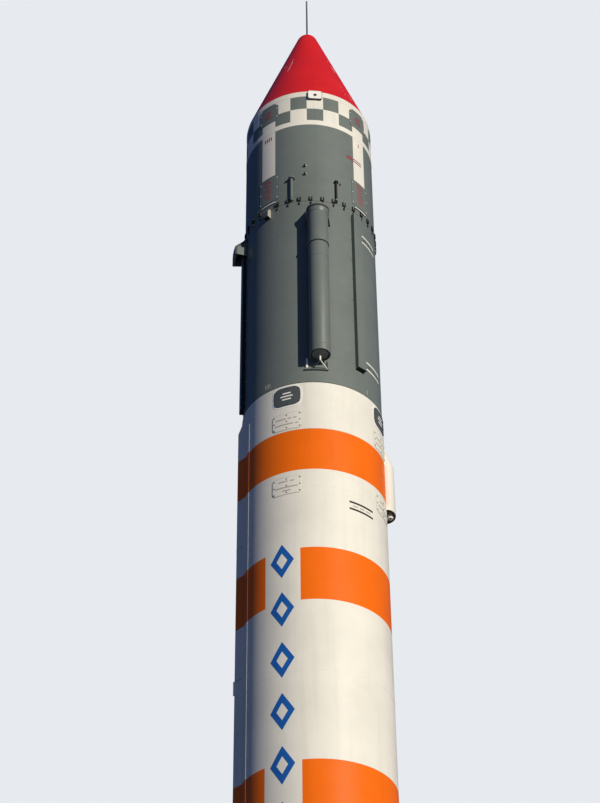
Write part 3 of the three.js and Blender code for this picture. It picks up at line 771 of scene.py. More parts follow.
def make_stage1_raceway():
    """The flat cable raceway with slanted flanks, the bands painted over it and a rail beside it."""
    node = "stage1_raceway"
    low, top = span_of(node)
    place = facing(RACEWAY_AZIMUTH, 0.0, 0.0)
    half, face, outer, root = RACEWAY_HALF, RACEWAY_FACE, RACEWAY_OUTER, RACEWAY_ROOT
    shape = Shape()
    raceway_skin(shape, place, low, top)
    tilt = math.atan2(outer - root, half - face)
    count = int((RACEWAY_TOP_SCREW - low - RACEWAY_LOW_SLOPE) / RACEWAY_SCREW_PITCH)
    for index in range(count):
        screw = RACEWAY_TOP_SCREW - index * RACEWAY_SCREW_PITCH
        joint = screw - RACEWAY_SCREW_PITCH / 2
        flanks = [
            moved(place, side * (half + face) / 2, screw, (outer + root) / 2)
            @ Matrix.Rotation(side * tilt, 4, "Y")
            for side in (-1, 1)
        ]
        for flank in flanks:
            shape.turned(flank, [(0.009, -0.001), (0.009, 0.002), (0.006, 0.004)], "bolt", 6)
        if index % RACEWAY_SCREWS_PER_LENGTH == RACEWAY_SCREWS_PER_LENGTH - 1:
            raceway_joint(shape, place, flanks, joint, joint - screw)
    stops = [low + RACEWAY_RAIL_INSET, *band_levels(low, top), top - RACEWAY_TOP_SLOPE]
    for levels in zip(stops, stops[1:]):
        shape.slab(RACEWAY_RAIL, levels, RACEWAY_RAIL_DEPTH, stage1_paint, bevel=0.004)
    shape.block(place, (face - 0.065, face - 0.005), RACEWAY_CLIP, (outer - 0.007, outer + 0.022), "bright")
    piece("stage1_raceway_cover", shape, "vehicle", (node,))


POD_AZIMUTH = 131
POD_HALF_WIDTH = 0.200
POD_STAND = 0.150
POD_WALL = 0.012
POD_FLANK = 0.03
POD_SHOULDER = 21.49
POD_TIP = 0.018
POD_SEAL = 0.046
PIPE_CENTRE = 1.256
PIPE_SHOWN = 0.045
PIPE_BORE = 0.040
PIPE_RADIUS = 0.050
# Levels of the dark plug in the pipe's bore and of the dark sheet behind it, both painted shade
PIPE_PLUG = (0.09, 0.12)
PIPE_GROUND = (0.02, 0.13)
PIPE_GROUND_HALF_ANGLE = 8.6


def pod_outline(level, size, inset):
    """The pod's section at one level: an arch that stands on the stage."""
    place = facing(POD_AZIMUTH, 0.0, level)
    half = max(POD_HALF_WIDTH * size - inset, 0.003)
    flank = POD_FLANK * size
    rise = max(POD_STAND * size - inset, 0.002) - flank
    around = 20
    line = []
    for index in range(around + 1):
        angle = math.pi * index / around
        across = half * math.cos(angle)
        ground = math.sqrt(STAGE1_RADIUS ** 2 - across ** 2)
        line.append(place @ Vector((across, 0, ground + flank + rise * math.sin(angle))))
    ground = math.sqrt(STAGE1_RADIUS ** 2 - half ** 2) - 0.003
    return [place @ Vector((half, 0, ground)), *line, place @ Vector((-half, 0, ground))]


def pod_wall(level, size, outer, inner):
    """A closed ring between two insets of the pod's section."""
    return pod_outline(level, size, outer) + pod_outline(level, size, inner)[::-1]


def pod_paint(point):
    """Painted dark as shade inside the mouth and on its rim, white outside."""
    local = facing(POD_AZIMUTH, STAGE1_RADIUS, 0.0).inverted() @ point
    inside = math.hypot(local.x / POD_HALF_WIDTH, local.z / POD_STAND) < 0.97
    rim = point.z < span_of("vent_pod")[0] + 0.001
    return "painted_shade" if rim or inside and point.z < POD_SHOULDER - 0.1 else "white"


def make_vent_pod():
    """A half-round fairing over the vent, with a straight tapered nose and an open foot."""
    low, top = span_of("vent_pod")
    shoulder = 0.99
    sizes = [(low, 1.0), (low + 0.02, 1.0), (POD_SHOULDER - 0.03, 1.0), (POD_SHOULDER, shoulder)]
    tip = POD_TIP / POD_HALF_WIDTH
    nose = 6
    for index in range(1, nose + 1):
        share = index / nose
        level = POD_SHOULDER + (top - POD_SHOULDER - 0.003) * share
        sizes.append((level, shoulder + (tip - shoulder) * share))
    shape = Shape()
    shape.sweep([pod_wall(level, size, 0.0, POD_WALL) for level, size in sizes], pod_paint)
    seal = [pod_wall(low + rise, 1.0, POD_WALL - 0.001, POD_SEAL) for rise in (0.010, 0.028)]
    shape.sweep(seal, "brown")
    piece("vent_pod_shell", shape, "vehicle", ("vent_pod",))


def make_vent_pipe():
    """The pale pipe end below the pod's mouth, with a plug in its bore and the ground behind it painted dark
    as shade.
    """
    pod_low = span_of("vent_pod")[0]
    low, top = span_of("vent_pipe")
    place = upright(POD_AZIMUTH, PIPE_CENTRE)
    end = pod_low - PIPE_SHOWN
    bore, radius = PIPE_BORE, PIPE_RADIUS
    plug_low, plug_top = (low + rise for rise in PIPE_PLUG)
    ground = [pod_low + rise for rise in PIPE_GROUND]
    wall = [(bore, end), (radius, end + 0.005), (radius, top), (bore, top), (bore, plug_top)]
    shape = Shape()
    shape.turned(place, wall, "bright", 24, hollow=True)
    # The plug in the bore and the sheet on the stage behind the pipe are painted dark as shade
    shape.turned(place, [(bore, plug_low), (bore, plug_top)], "painted_shade", 24)
    shape.slab(about(POD_AZIMUTH, PIPE_GROUND_HALF_ANGLE), ground, 0.003, "painted_shade")
    piece("vent_pipe_end", shape, "vehicle", ("vent_pipe",))


HATCH_CENTRE = 18.4
HATCH_HALF_ANGLE = 12.8
HATCH_RIM = 0.034
HATCH_SCREWS = (
    # share of the half angle, share of the half height
    (-0.86, 0.72), (0, 0.86), (0.86, 0.72), (-0.93, 0), (0.93, 0), (-0.86, -0.72), (0, -0.86), (0.86, -0.72),
)
HATCH_BARS = ((0.062, -3.4, 3.4), (0.0, -5.2, 5.0), (-0.062, -3.8, 3.6))
HATCH_BAR_HALF = 0.013
HATCH_BAR_DEPTH = 0.0135
HATCH_DEPTHS = (0.003, 0.012)
HATCH_CORNERS = (0.14, 0.12)
HATCH_SCREW = 0.012
HATCH_SCREW_HEIGHT = 0.017
HATCH_SCREW_TURN = 1.4


def make_hatches():
    """Grey hatches with a white rim, screws and three plain bars."""
    rim = math.degrees(HATCH_RIM / STAGE1_RADIUS)
    (rim_depth, depth), (rim_corner, corner) = HATCH_DEPTHS, HATCH_CORNERS
    for number, plane in enumerate(HATCH_PLANES, 1):
        node = f"access_hatch_{number}"
        low, top = span_of(node)
        centre = plane + HATCH_CENTRE
        left, right = about(centre, HATCH_HALF_ANGLE)
        shape = Shape()
        shape.slab((left, right), (low, top), rim_depth, "bright", corner=rim_corner)
        inner = (low + HATCH_RIM, top - HATCH_RIM)
        shape.slab((left + rim, right - rim), inner, depth, "dark_grey", corner=corner, bevel=0.003)
        middle, half = (low + top) / 2, (top - low) / 2 - HATCH_RIM
        for across, up in HATCH_SCREWS:
            azimuth = centre + across * (HATCH_HALF_ANGLE - HATCH_SCREW_TURN)
            shape.stud(azimuth, middle + up * half, HATCH_SCREW, HATCH_SCREW_HEIGHT, "black")
        shape.bars(centre, middle, HATCH_BARS, HATCH_BAR_HALF, HATCH_BAR_DEPTH, "bright")
        piece(f"hatch_lid_{number}", shape, "vehicle", (node,))


# Upper stage

def make_stage2():
    """The upper stage, and the joint above it with the payload adapter."""
    make_stage2_skin()
    make_stage2_marks()
    make_stage2_raceways()
    make_connector_box()
    for number, turn in ((1, 0), (2, 180)):
        make_side_tank(number, TANK_AZIMUTH + turn)
        make_tank_bracket(number, TANK_AZIMUTH + turn)
        make_hinge_block(number, turn - 45)
        make_joint_bracket(number, turn)
    make_separation_ring()
    make_adapter()


STAGE2_EDGE = 0.001
STAGE2_JOINT = (22.402, 22.420)
STAGE2_SEAMS = (22.98, 25.86)
STAGE2_SEAM_ENDS = (-35.9, 315)
STAGE2_SEAM_HALF = 0.004
STAGE2_SHADE_LEVELS = (22.9, 24.3, 25.9)


def make_stage2_skin():
    """The grey shell with its lower joint and two seams."""
    shape = drum_skin("stage2_shell", STAGE2_RADIUS, "grey", STAGE2_SHADE_LEVELS, edge=STAGE2_EDGE)[0]
    shape.slab((-180, 180), STAGE2_JOINT, 0.0015, "gap")
    for level in STAGE2_SEAMS:
        shape.slab(STAGE2_SEAM_ENDS, about(level, STAGE2_SEAM_HALF), WELD_RING_DEPTH, "grey")
    piece("stage2_skin", shape, "vehicle", ("stage2_shell",))


# Double lines of the upper stage: azimuths, pairs of levels, and the worn bars between them
STAGE2_LINE_ENDS = (88, 112)
STAGE2_DOUBLE_LINES = ((26.14, 25.99), (23.19, 23.04))
STAGE2_WORN_BARS = ((0.0, 92, 97), (0.0, 99, 103), (0.0, 104.5, 108))
STAGE2_TICKS = (22.485, 22.575)
STAGE2_TICK_WIDTH = 0.012
STAGE2_TICK_PITCH = 0.032
STAGE2_LINE_HALF = 0.014
STAGE2_WORN_BAR_HALF = 0.01


def make_stage2_marks():
    """White ticks that number the planes, and white double lines."""
    shape = Shape(STAGE2_RADIUS)
    for count, azimuth in PLANE_NUMBERS:
        plane_ticks(shape, count, azimuth, STAGE2_TICKS, "faint", STAGE2_TICK_WIDTH, STAGE2_TICK_PITCH)
    for turn in (0, 180):
        ends = [end + turn for end in STAGE2_LINE_ENDS]
        for upper, lower in STAGE2_DOUBLE_LINES:
            for level in (upper, lower):
                shape.slab(ends, about(level, STAGE2_LINE_HALF), PAINT_DEPTH, "bright")
            middle = (upper + lower) / 2
            shape.bars(turn, middle, STAGE2_WORN_BARS, STAGE2_WORN_BAR_HALF, PAINT_DEPTH, "line")
    piece("stage2_markings", shape, "vehicle")


STAGE2_RACEWAYS = (
    # name, first and last azimuth, outer radius, paint of the flank at the last azimuth (near-black on the
    # left one, as painted shade)
    ("left", -44.65, -36.2, 1.256, "gap"),
    ("right", 77.3, 85.75, 1.268, "grey"),
)
STAGE2_RACEWAY_EDGE = 0.004
STAGE2_RACEWAY_CLIPS = 8
STAGE2_RACEWAY_CLIP_INSET = 0.12
STAGE2_RACEWAY_CLIP_TURN = 0.6


def make_stage2_raceways():
    """Narrow raised covers up the upper stage, with clips along both sides and a lower end painted near-black
    as shade.
    """
    edge, inset, beside = STAGE2_RACEWAY_EDGE, STAGE2_RACEWAY_CLIP_INSET, STAGE2_RACEWAY_CLIP_TURN
    inside, shoulder = STAGE2_RADIUS - 0.01, STAGE2_RADIUS + 0.004
    for name, start, stop, outer, flank in STAGE2_RACEWAYS:
        node = f"stage2_raceway_{name}"
        low, top = span_of(node)
        turn = math.degrees(edge / outer)
        flat = [(azimuth, outer) for azimuth in columns(start + turn, stop - turn)]
        rings = []
        for azimuth, crest in [(start, outer - edge), *flat, (stop, outer - edge)]:
            profile = [(inside, low), (shoulder, low), (crest, low + edge)]
            profile += [(crest, top - edge), (shoulder, top), (inside, top)]
            rings += around_axis(profile, [azimuth])
        shape = Shape(STAGE2_RADIUS)
        shape.sweep(rings, "grey")
        for index in range(STAGE2_RACEWAY_CLIPS):
            level = low + inset + (top - low - 2 * inset) * index / (STAGE2_RACEWAY_CLIPS - 1)
            for azimuth in (start - beside, stop + beside):
                shape.stud(azimuth, level, 0.011, 0.010, "bolt")
        depth = outer - STAGE2_RADIUS - 0.008
        # The near-black sheet at the lower end is painted shade, and so is the left cover's near-black flank
        shape.slab((start + 0.3, stop - 0.3), (low - 0.003, low + 0.001), depth, "gap")
        shape.slab(about(stop, 0.1), (low, top), depth, flank)
        piece(f"{node}_cover", shape, "vehicle", (node,))


TANK_RADIUS = 0.178
TANK_CENTRE = 1.385
TANK_AZIMUTH = 44.7
TANK_DISH = 0.040
TANK_TOP = 26.180
TANK_COLLARS = (
    # radius, low, top, paint
    (0.203, 26.090, 26.111, "grey"),
    # Near-black band: painted shade under the cap's rim
    (0.206, 26.110, 26.146, "gap"),
    (0.203, 26.145, 26.178, "grey"),
    (0.190, 25.310, 25.360, "grey"),
    # Near-black band: painted shade under the clamp band
    (0.1805, 25.288, 25.311, "gap"),
    (0.1795, 24.972, 24.980, "line"),
    (0.1795, 22.950, 22.980, "grey"),
)
TANK_SIDES = 48
TANK_DOME = 0.055
TANK_CLAMP = 25.335
TANK_CLAMP_HALF = 0.050
TANK_CLAMP_HALF_HEIGHT = 0.025
TANK_CLAMP_FEET = (-0.085, 0.085)

# Sloped hood of a bottle as (distance from the axis, level), and its shelf
HOOD = ((1.180, 26.025), (1.385, 26.025), (1.418, 26.055), (1.418, 26.162), (1.180, 26.326))
HOOD_HALF = 0.198
SHELF_HALF = 0.195
SHELF_LEVELS = (26.004, 26.026)
SHELF_ROOT = 1.183


def make_side_tank(number, azimuth):
    """A gas bottle with a collar on a shelf, a clamp and a dished foot. The foot, a narrow band in the collar
    and another just under the clamp band are painted near-black as shade.
    """
    node = f"side_tank_{number}"
    low, top = span_of(node)[0], TANK_TOP
    place = upright(azimuth, TANK_CENTRE)
    shape = Shape()
    r, shoulder = TANK_RADIUS, top - TANK_DOME
    wall = [(r - 0.013, low + 0.010), (r - 0.010, low), (r - 0.003, low), (r, low + 0.006), (r, shoulder)]
    for index in range(1, 7):
        angle = math.pi / 2 * index / 6
        wall.append((0.004 + (r - 0.004) * math.cos(angle), shoulder + TANK_DOME * math.sin(angle)))
    shape.turned(place, wall, "grey", TANK_SIDES)
    dish = low + TANK_DISH
    foot = [(0.004, dish), (0.045, dish), (0.150, low + 0.004), (0.1655, low + 0.010), (0.160, low + 0.045)]
    # The foot is painted very dark as shade
    shape.turned(place, foot, "painted_shade", TANK_SIDES)
    inner = r - 0.004
    for radius, band_low, band_top, paint in TANK_COLLARS:
        rim = min(0.003, (band_top - band_low) / 3)
        band = [(inner, band_low), (radius - rim, band_low), (radius, band_low + rim)]
        band += [(radius, band_top - rim), (radius - rim, band_top), (inner, band_top)]
        shape.turned(place, band, paint, TANK_SIDES, hollow=True)
    flare = [(inner, 26.024), (r + 0.003, 26.024), (0.203, 26.091), (inner, 26.091)]
    shape.turned(place, flare, "grey", TANK_SIDES, hollow=True)
    hood = facing(azimuth, 0.0, 0.0)
    sides = (-HOOD_HALF, HOOD_HALF)
    shape.sweep([[hood @ Vector((x, level, out)) for out, level in HOOD] for x in sides], "grey")
    shelf = hood @ Matrix.Rotation(-math.pi / 2, 4, "X")
    near = [(x * SHELF_ROOT, y * SHELF_ROOT) for x, y in map(on_circle, range(-12, 13, 3))]
    shape.prism(shelf, [*near, (SHELF_HALF, -TANK_CENTRE), (-SHELF_HALF, -TANK_CENTRE)], SHELF_LEVELS, "grey")
    clamp = facing(azimuth, STAGE2_RADIUS, TANK_CLAMP)
    high = about(0, TANK_CLAMP_HALF_HEIGHT)
    shape.block(clamp, about(0, TANK_CLAMP_HALF), high, (-0.002, 0.05), "grey")
    for across in TANK_CLAMP_FEET:
        shape.block(clamp, about(across, 0.025), high, (-0.008, 0.010), "grey", 0.002)
        shape.turned(moved(clamp, across, 0, 0.008), [(0.009, 0), (0.009, 0.008)], "bolt", 6)
    piece(f"gas_bottle_{number}", shape, "vehicle", (node,))


TANK_RAIL = (
    # start, stop, low, top, paint
    (-11.7, 7.3, 22.665, 22.700, "grey"),
    # The left flange is painted bright as a highlight
    (-10.5, -8.9, 22.700, 22.900, "bright"),
    (6.5, 7.3, 22.700, 22.860, "grey"),
)
TANK_LEG_LEVEL = 22.685
# The strut towards the sun is painted bright as a highlight, the other one grey
TANK_LEGS = ((-5.7, "grey"), (6.8, "bright"))
TANK_RAIL_BOLTS = (-8, -2, 4)
TANK_RAIL_BOLT_LEVEL = 22.682
TANK_RAIL_DEPTH = 0.035
TANK_PIN = (0.016, 22.715)
TANK_STRUT_LEVEL = 22.727
TANK_STRUT = 0.011


def make_tank_bracket(number, azimuth):
    """The rail under a bottle, with the centre pin, its struts and two legs on the stage. The pin, the left
    flange and the strut towards the sun are painted bright as highlights.
    """
    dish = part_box(f"side_tank_{number}")[0].z + TANK_DISH
    shape = Shape(STAGE2_RADIUS)
    for start, stop, low, top, paint in TANK_RAIL:
        shape.slab((azimuth + start, azimuth + stop), (low, top), TANK_RAIL_DEPTH, paint, bevel=0.003)
    radius, pin_low = TANK_PIN
    pin = [(radius - 0.004, pin_low), (radius, pin_low + 0.004), (radius, dish - 0.0004)]
    # The pin is painted bright as a highlight
    shape.turned(upright(azimuth, TANK_CENTRE), pin, "bright", 16)
    foot = at(TANK_CENTRE, azimuth, TANK_STRUT_LEVEL)
    for turn, paint in TANK_LEGS:
        shape.rod(foot, at(STAGE2_RADIUS + 0.012, azimuth + turn, TANK_LEG_LEVEL), TANK_STRUT, paint)
        shape.stud(azimuth + turn, TANK_LEG_LEVEL, 0.018, 0.040, "grey", 12)
    for turn in TANK_RAIL_BOLTS:
        shape.stud(azimuth + turn, TANK_RAIL_BOLT_LEVEL, 0.009, 0.041, "bolt", 6)
    piece(f"bottle_bracket_{number}", shape, "vehicle", (f"tank_bracket_{number}",))


# Connector box: end azimuths, cheek thickness in degrees and (radius, level) outlines
BOX_ENDS = (-48.5, -34.0)
BOX_CHEEK = 0.55
BOX_WALL = (
    (1.183, 26.412), (1.370, 26.222), (1.370, 26.062), (1.373, 26.060),
    (1.412, 26.060), (1.415, 26.063), (1.415, 26.238), (1.183, 26.480),
)
BOX_OUTER = 1.415
BOX_BACK_LEVELS = (26.066, 26.42)
BOX_BOLT_LEVELS = (26.09, 26.21)
BOX_SIDE = ((1.183, 26.060), (1.415, 26.060), (1.415, 26.240), (1.183, 26.480))
# Lining inside the hood, painted near-black as shade
BOX_LINING = (
    (1.183, 26.410), (1.183, 26.412), (1.371, 26.221), (1.371, 26.070), (1.3685, 26.070), (1.3685, 26.219),
)


def make_connector_box():
    """A hood over the raceway's upper end, open towards the ground, with its lining and back painted
    near-black as shade.
    """
    start, stop = BOX_ENDS
    shape = Shape(STAGE2_RADIUS)
    shape.sweep(around_axis(BOX_WALL, columns(start, stop)), "grey")
    for edge in (start, stop - BOX_CHEEK):
        shape.sweep(around_axis(BOX_SIDE, (edge, edge + BOX_CHEEK)), "grey")
    # The lining and the back inside the hood are painted near-black as shade
    shape.sweep(around_axis(BOX_LINING, columns(start + 0.5, stop - 0.5)), "gap")
    shape.slab((start + 0.4, stop - 0.4), BOX_BACK_LEVELS, 0.002, "gap")
    for azimuth in (start + 1.0, (start + stop) / 2, stop - 1.0):
        for level in BOX_BOLT_LEVELS:
            shape.stud(azimuth, level, 0.007, 0.004, "bolt", radius=BOX_OUTER)
    piece("connector_hood", shape, "vehicle", ("connector_box",))


HINGE_RADIUS = 1.206
HINGE_LEVEL = 26.600
HINGE_BLOCK_OUTER = 1.220
HINGE_BLOCK_LEVELS = (26.515, 26.580)
HINGE_EAR_LEVELS = (26.575, 26.614)
HINGE_BOLT_LEVEL = 26.547


def make_hinge_block(number, azimuth):
    """The small block under a fairing hinge, with its ears, bolts and pin."""
    shape = Shape()
    place = facing(azimuth, 0.0, 0.0)
    shape.block(place, about(0, 0.050), HINGE_BLOCK_LEVELS, (1.182, HINGE_BLOCK_OUTER), "grey")
    for side in (-1, 1):
        xs = sorted((side * 0.028, side * 0.050))
        shape.block(place, xs, HINGE_EAR_LEVELS, (1.192, HINGE_BLOCK_OUTER), "grey", 0.002, 0.010)
        bolt = moved(place, side * 0.034, HINGE_BOLT_LEVEL, HINGE_BLOCK_OUTER - 0.001)
        shape.turned(bolt, [(0.008, 0), (0.008, 0.0009)], "bolt", 6)
    pin = [place @ Vector((x, HINGE_LEVEL, HINGE_RADIUS)) for x in about(0, 0.0505)]
    shape.rod(*pin, 0.007, "steel", 16)
    piece(f"hinge_housing_{number}", shape, "vehicle", (f"hinge_block_{number}",))


JOINT_BRACKET = (
    # radius, level
    (1.186, 26.394), (1.275, 26.394), (1.277, 26.397), (1.277, 26.518), (1.196, 26.617), (1.196, 26.571),
    (1.186, 26.570),
)


def make_joint_bracket(number, turn):
    """A bracket with a sloped top that reaches over the joint. Its side towards plane I is painted pale as a
    highlight, the rest dark grey as painted shade, and a near-black sheet under it is painted shade.
    """
    start, stop = turn - 2.0, turn + 2.9

    # Pale painted highlight on the side face at the stop, dark grey painted shade elsewhere
    def paint(point):
        return "faint" if turn_between(azimuth_of(point), stop) > -0.1 else "dark_grey"

    shape = Shape(STAGE2_RADIUS)
    shape.sweep(around_axis(JOINT_BRACKET, columns(start, stop)), paint)
    # A near-black sheet under the bracket, painted shade
    shape.slab((start + 0.2, stop - 0.2), (26.390, 26.3945), 0.090, "gap")
    piece(f"joint_fitting_{number}", shape, "vehicle", (f"joint_bracket_{number}",))


# Bolts of the fairing joint: one each 10 degrees, apart from where the joint brackets stand
BOLT_AZIMUTHS = [azimuth for azimuth in range(0, 360, 10) if azimuth not in (0, 180)]
LUG_LEVEL = 26.542
LUG_HALF = (0.019, 0.010)
LUG_DEPTHS = (-0.004, 0.008)
NUT_PLACE = (0, -0.026, 0.0105)
NUT_RADIUS = 0.0155
NUT_LENGTH = 0.053
CUP_LEVEL = 26.603


def make_separation_ring():
    """The ring at the fairing joint, with a dark nut under each bolt cup."""
    shape = drum_skin("separation_ring", STAGE2_RADIUS, "grey", (26.55,), edge=STAGE2_EDGE)[0]
    radius, end_radius = NUT_RADIUS, NUT_RADIUS - 0.0025
    nut_profile = [(end_radius, 0), (radius, 0.003), (radius, NUT_LENGTH - 0.003), (end_radius, NUT_LENGTH)]
    for azimuth in BOLT_AZIMUTHS:
        lug = facing(azimuth, STAGE2_RADIUS, LUG_LEVEL)
        shape.block(lug, *(about(0, half) for half in LUG_HALF), LUG_DEPTHS, "grey", 0.003)
        nut = moved(lug, *NUT_PLACE) @ Matrix.Rotation(-math.pi / 2, 4, "X")
        shape.turned(nut, nut_profile, "gap", 8)
    piece("joint_ring", shape, "vehicle", ("separation_ring",))


ADAPTER_RIB_PITCH = 15
ADAPTER_RIB = 0.012
ADAPTER_BOLT_CIRCLE = 0.505


def make_adapter():
    """The cone that carries the payload: a ribbed shell with a bolted top ring."""
    low, top = span_of("payload_adapter")
    profile = [(0.99, low), (1.0, low + 0.006), (1.0, low + 0.034), (0.985, low + 0.044)]
    profile += [(0.522, low + 0.49), (0.54, low + 0.508), (0.54, top - 0.006), (0.534, top)]
    shape = Shape()
    shape.turned(AXIS, profile, "primer", 96)
    for azimuth in range(0, 360, ADAPTER_RIB_PITCH):
        foot, head = at(0.975, azimuth, low + 0.045), at(0.535, azimuth, low + 0.475)
        shape.rod(foot, head, ADAPTER_RIB, "primer", 6)
    for azimuth in range(0, 360, ADAPTER_RIB_PITCH):
        spot = moved(AXIS, *at(ADAPTER_BOLT_CIRCLE, azimuth + ADAPTER_RIB_PITCH / 2, top - 0.001))
        shape.turned(spot, [(0.010, -0.004), (0.010, 0.0006), (0.006, 0.0008)], "bolt", 6)
    piece("payload_cone", shape, "vehicle", ("payload_adapter",))


# Payload fairing

CONE_ANGLE = math.atan2(CONE_LOW_RADIUS, TIP_CENTRE - CONE_LOW) - math.asin(
    TIP_RADIUS / math.hypot(TIP_CENTRE - CONE_LOW, CONE_LOW_RADIUS)
)
CONE_SLOPE = math.tan(CONE_ANGLE)


def cone_radius(level):
    return CONE_LOW_RADIUS - (level - CONE_LOW) * CONE_SLOPE


def inner_cone_radius(level):
    return CONE_LOW_RADIUS - FAIRING_WALL - (level - CONE_LOW) * CONE_SLOPE


def fairing_radius(level):
    """Outside of the fairing at a level, straight or on the cone."""
    if level < CONE_LOW - 0.08:
        return STAGE2_RADIUS
    return CONE_LOW_RADIUS - max(0, level - CONE_LOW) * CONE_SLOPE


def fairing_paint(point):
    """Grey below with white stripes and a chequered ring, red above, primer inside."""
    azimuth, level = azimuth_of(point), point[2]
    radius = math.hypot(point[0], point[1])
    if radius < fairing_radius(level) - 0.012:
        return "primer"
    if level > UPPER_RING[1]:
        return "red"
    if level > UPPER_RING[0] or LOWER_RING[0] < level < LOWER_RING[1]:
        return "white"
    if level > LOWER_RING[1]:
        even = round(azimuth / COLUMN) % 2 == 0
        upper = level > CHEQUER_MIDDLE
        return "grey" if even == upper else "white"
    if STRIPE[0] < level < STRIPE[1]:
        plane = min(abs(turn_between(azimuth, plane)) for plane in PLANES)
        if plane < STRIPE_HALF_ANGLE:
            return "white"
    return "grey"


def cap_level(azimuth, centre, wall, gap):
    """Where a fairing wall meets the sloped plane under the nose cap."""
    lean = CAP_SLOPE * abs(math.cos(math.radians(azimuth - centre)))
    start = CONE_LOW_RADIUS - wall + CONE_LOW * CONE_SLOPE
    return (CAP_LOW - gap + lean * start) / (1 + lean * CONE_SLOPE)


FAIRING_LEVELS = (
    # outside from the rim up: drop of the radius, level
    (0.004, 26.603), (0.0, 26.607), (0.0, 26.69), (0.0, 27.44), (0.0, 28.569), (0.0, 28.57),
    (-0.003, 28.572), (-0.003, 28.688), (0.0, 28.69), (0.0, 29.00), (0.0, 29.329), (0.0, 29.33),
    (-0.004, 29.334), (-0.004, 29.392), (0.0, 29.400), (0.0005, 29.402), (0.003, 29.430), (0.008, 29.460),
    (0.015, 29.48),
)
# Inside from the cone down: radius, level
FAIRING_INSIDE = ((1.150, 29.38), (1.150, 26.74), (1.110, 26.70), (1.110, 26.603))
CONE_LEVELS = (29.9, 30.6, 31.3)


def on_half(azimuth, letter, limit=90):
    return abs(turn_between(azimuth, HALVES[letter])) <= limit


def make_fairing_shell(letter, gap):
    """One half: painted outside, primed and ribbed inside, with its seam edge and hinge leaf."""
    centre = HALVES[letter]
    lip = math.degrees(SEAM_GAP / 2 / STAGE2_RADIUS)
    start, stop = centre - 90 + lip, centre + 90 - lip
    chequer_edges = [COLUMN * k + COLUMN / 2 for k in range(-20, 21)]
    rings = []
    for azimuth in columns(start, stop, chequer_edges):
        outer_top = cap_level(azimuth, centre, 0.0, gap)
        inner_top = cap_level(azimuth, centre, FAIRING_WALL, gap)
        profile = [(STAGE2_RADIUS - drop, level) for drop, level in FAIRING_LEVELS]
        profile += [(cone_radius(level), level) for level in (*CONE_LEVELS, outer_top)]
        back_down = (inner_top, *reversed(CONE_LEVELS), CONE_LOW)
        profile += [(inner_cone_radius(level), level) for level in back_down]
        rings += around_axis([*profile, *FAIRING_INSIDE], [azimuth])
    shape = Shape(STAGE2_RADIUS)
    shape.sweep(rings, fairing_paint)
    inner_ribs(shape, centre)
    hinge_leaf(shape, centre)
    body = f"fairing_half_{letter}"
    piece(f"fairing_half_{letter}_skin", shape, body, (f"fairing_shell_{letter}",))


RIB_LEVELS = (27.3, 28.0, 28.7, 29.3)
RIB_HALF = 0.012
RIB_DEPTH = 0.022
FAIRING_STRINGER_TURNS = range(-80, 81, 20)
FAIRING_STRINGER_HALF_ANGLE = 0.45
FAIRING_STRINGER_LEVELS = (26.76, 29.36)
FAIRING_STRINGER_DEPTH = 0.014


def inner_ribs(shape, centre):
    """Ring frames and stringers inside a half, seen when it is open."""
    inner = STAGE2_RADIUS - FAIRING_WALL
    root, crest = inner + 0.002, inner - RIB_DEPTH
    for level in RIB_LEVELS:
        low, top = about(level, RIB_HALF)
        section = [(root, low), (crest, low), (crest, top), (root, top)]
        shape.sweep(around_axis(section, columns(*about(centre, 88))), "primer")
    levels, sunk = FAIRING_STRINGER_LEVELS, FAIRING_STRINGER_DEPTH
    for turn in FAIRING_STRINGER_TURNS:
        sides = about(centre + turn, FAIRING_STRINGER_HALF_ANGLE)
        shape.slab(sides, levels, 0.001, "primer", lambda level: inner, sunk=sunk)


BARREL_HALF = 0.024
BARREL_RADII = (0.0085, 0.014)
LEAF_ARM = (26.608, 26.629)
LEAF_PLATE = (26.63, 26.78)
LEAF_PLATE_HALF_ANGLE = 1.6
LEAF_BOLT_LEVELS = (26.68, 26.75)
LEAF_BOLT_TURNS = (-0.9, 0.9)


def hinge_leaf(shape, centre):
    """The arm and barrel that turn on the hinge pin, with a plate and bolts."""
    place = facing(centre, 0.0, 0.0)
    barrel = moved(place, -BARREL_HALF, HINGE_LEVEL, HINGE_RADIUS) @ Matrix.Rotation(math.pi / 2, 4, "Y")
    (bore, radius), length = BARREL_RADII, 2 * BARREL_HALF
    tube = [(bore, 0), (radius, 0), (radius, length), (bore, length)]
    shape.turned(barrel, tube, "grey", 20, hollow=True)
    shape.block(place, about(0, 0.023), LEAF_ARM, (1.178, HINGE_RADIUS), "grey", 0.003)
    plate = about(centre, LEAF_PLATE_HALF_ANGLE)
    shape.slab(plate, LEAF_PLATE, 0.008, "grey", corner=0.02, bevel=0.002)
    for level in LEAF_BOLT_LEVELS:
        for turn in LEAF_BOLT_TURNS:
            shape.stud(centre + turn, level, 0.009, 0.014, "bolt", 6)


CUP_HALF = 0.030
CUP_WALL = 0.016
CUP_DEPTHS = (-0.004, 0.028)
CUP_TOP = 0.092


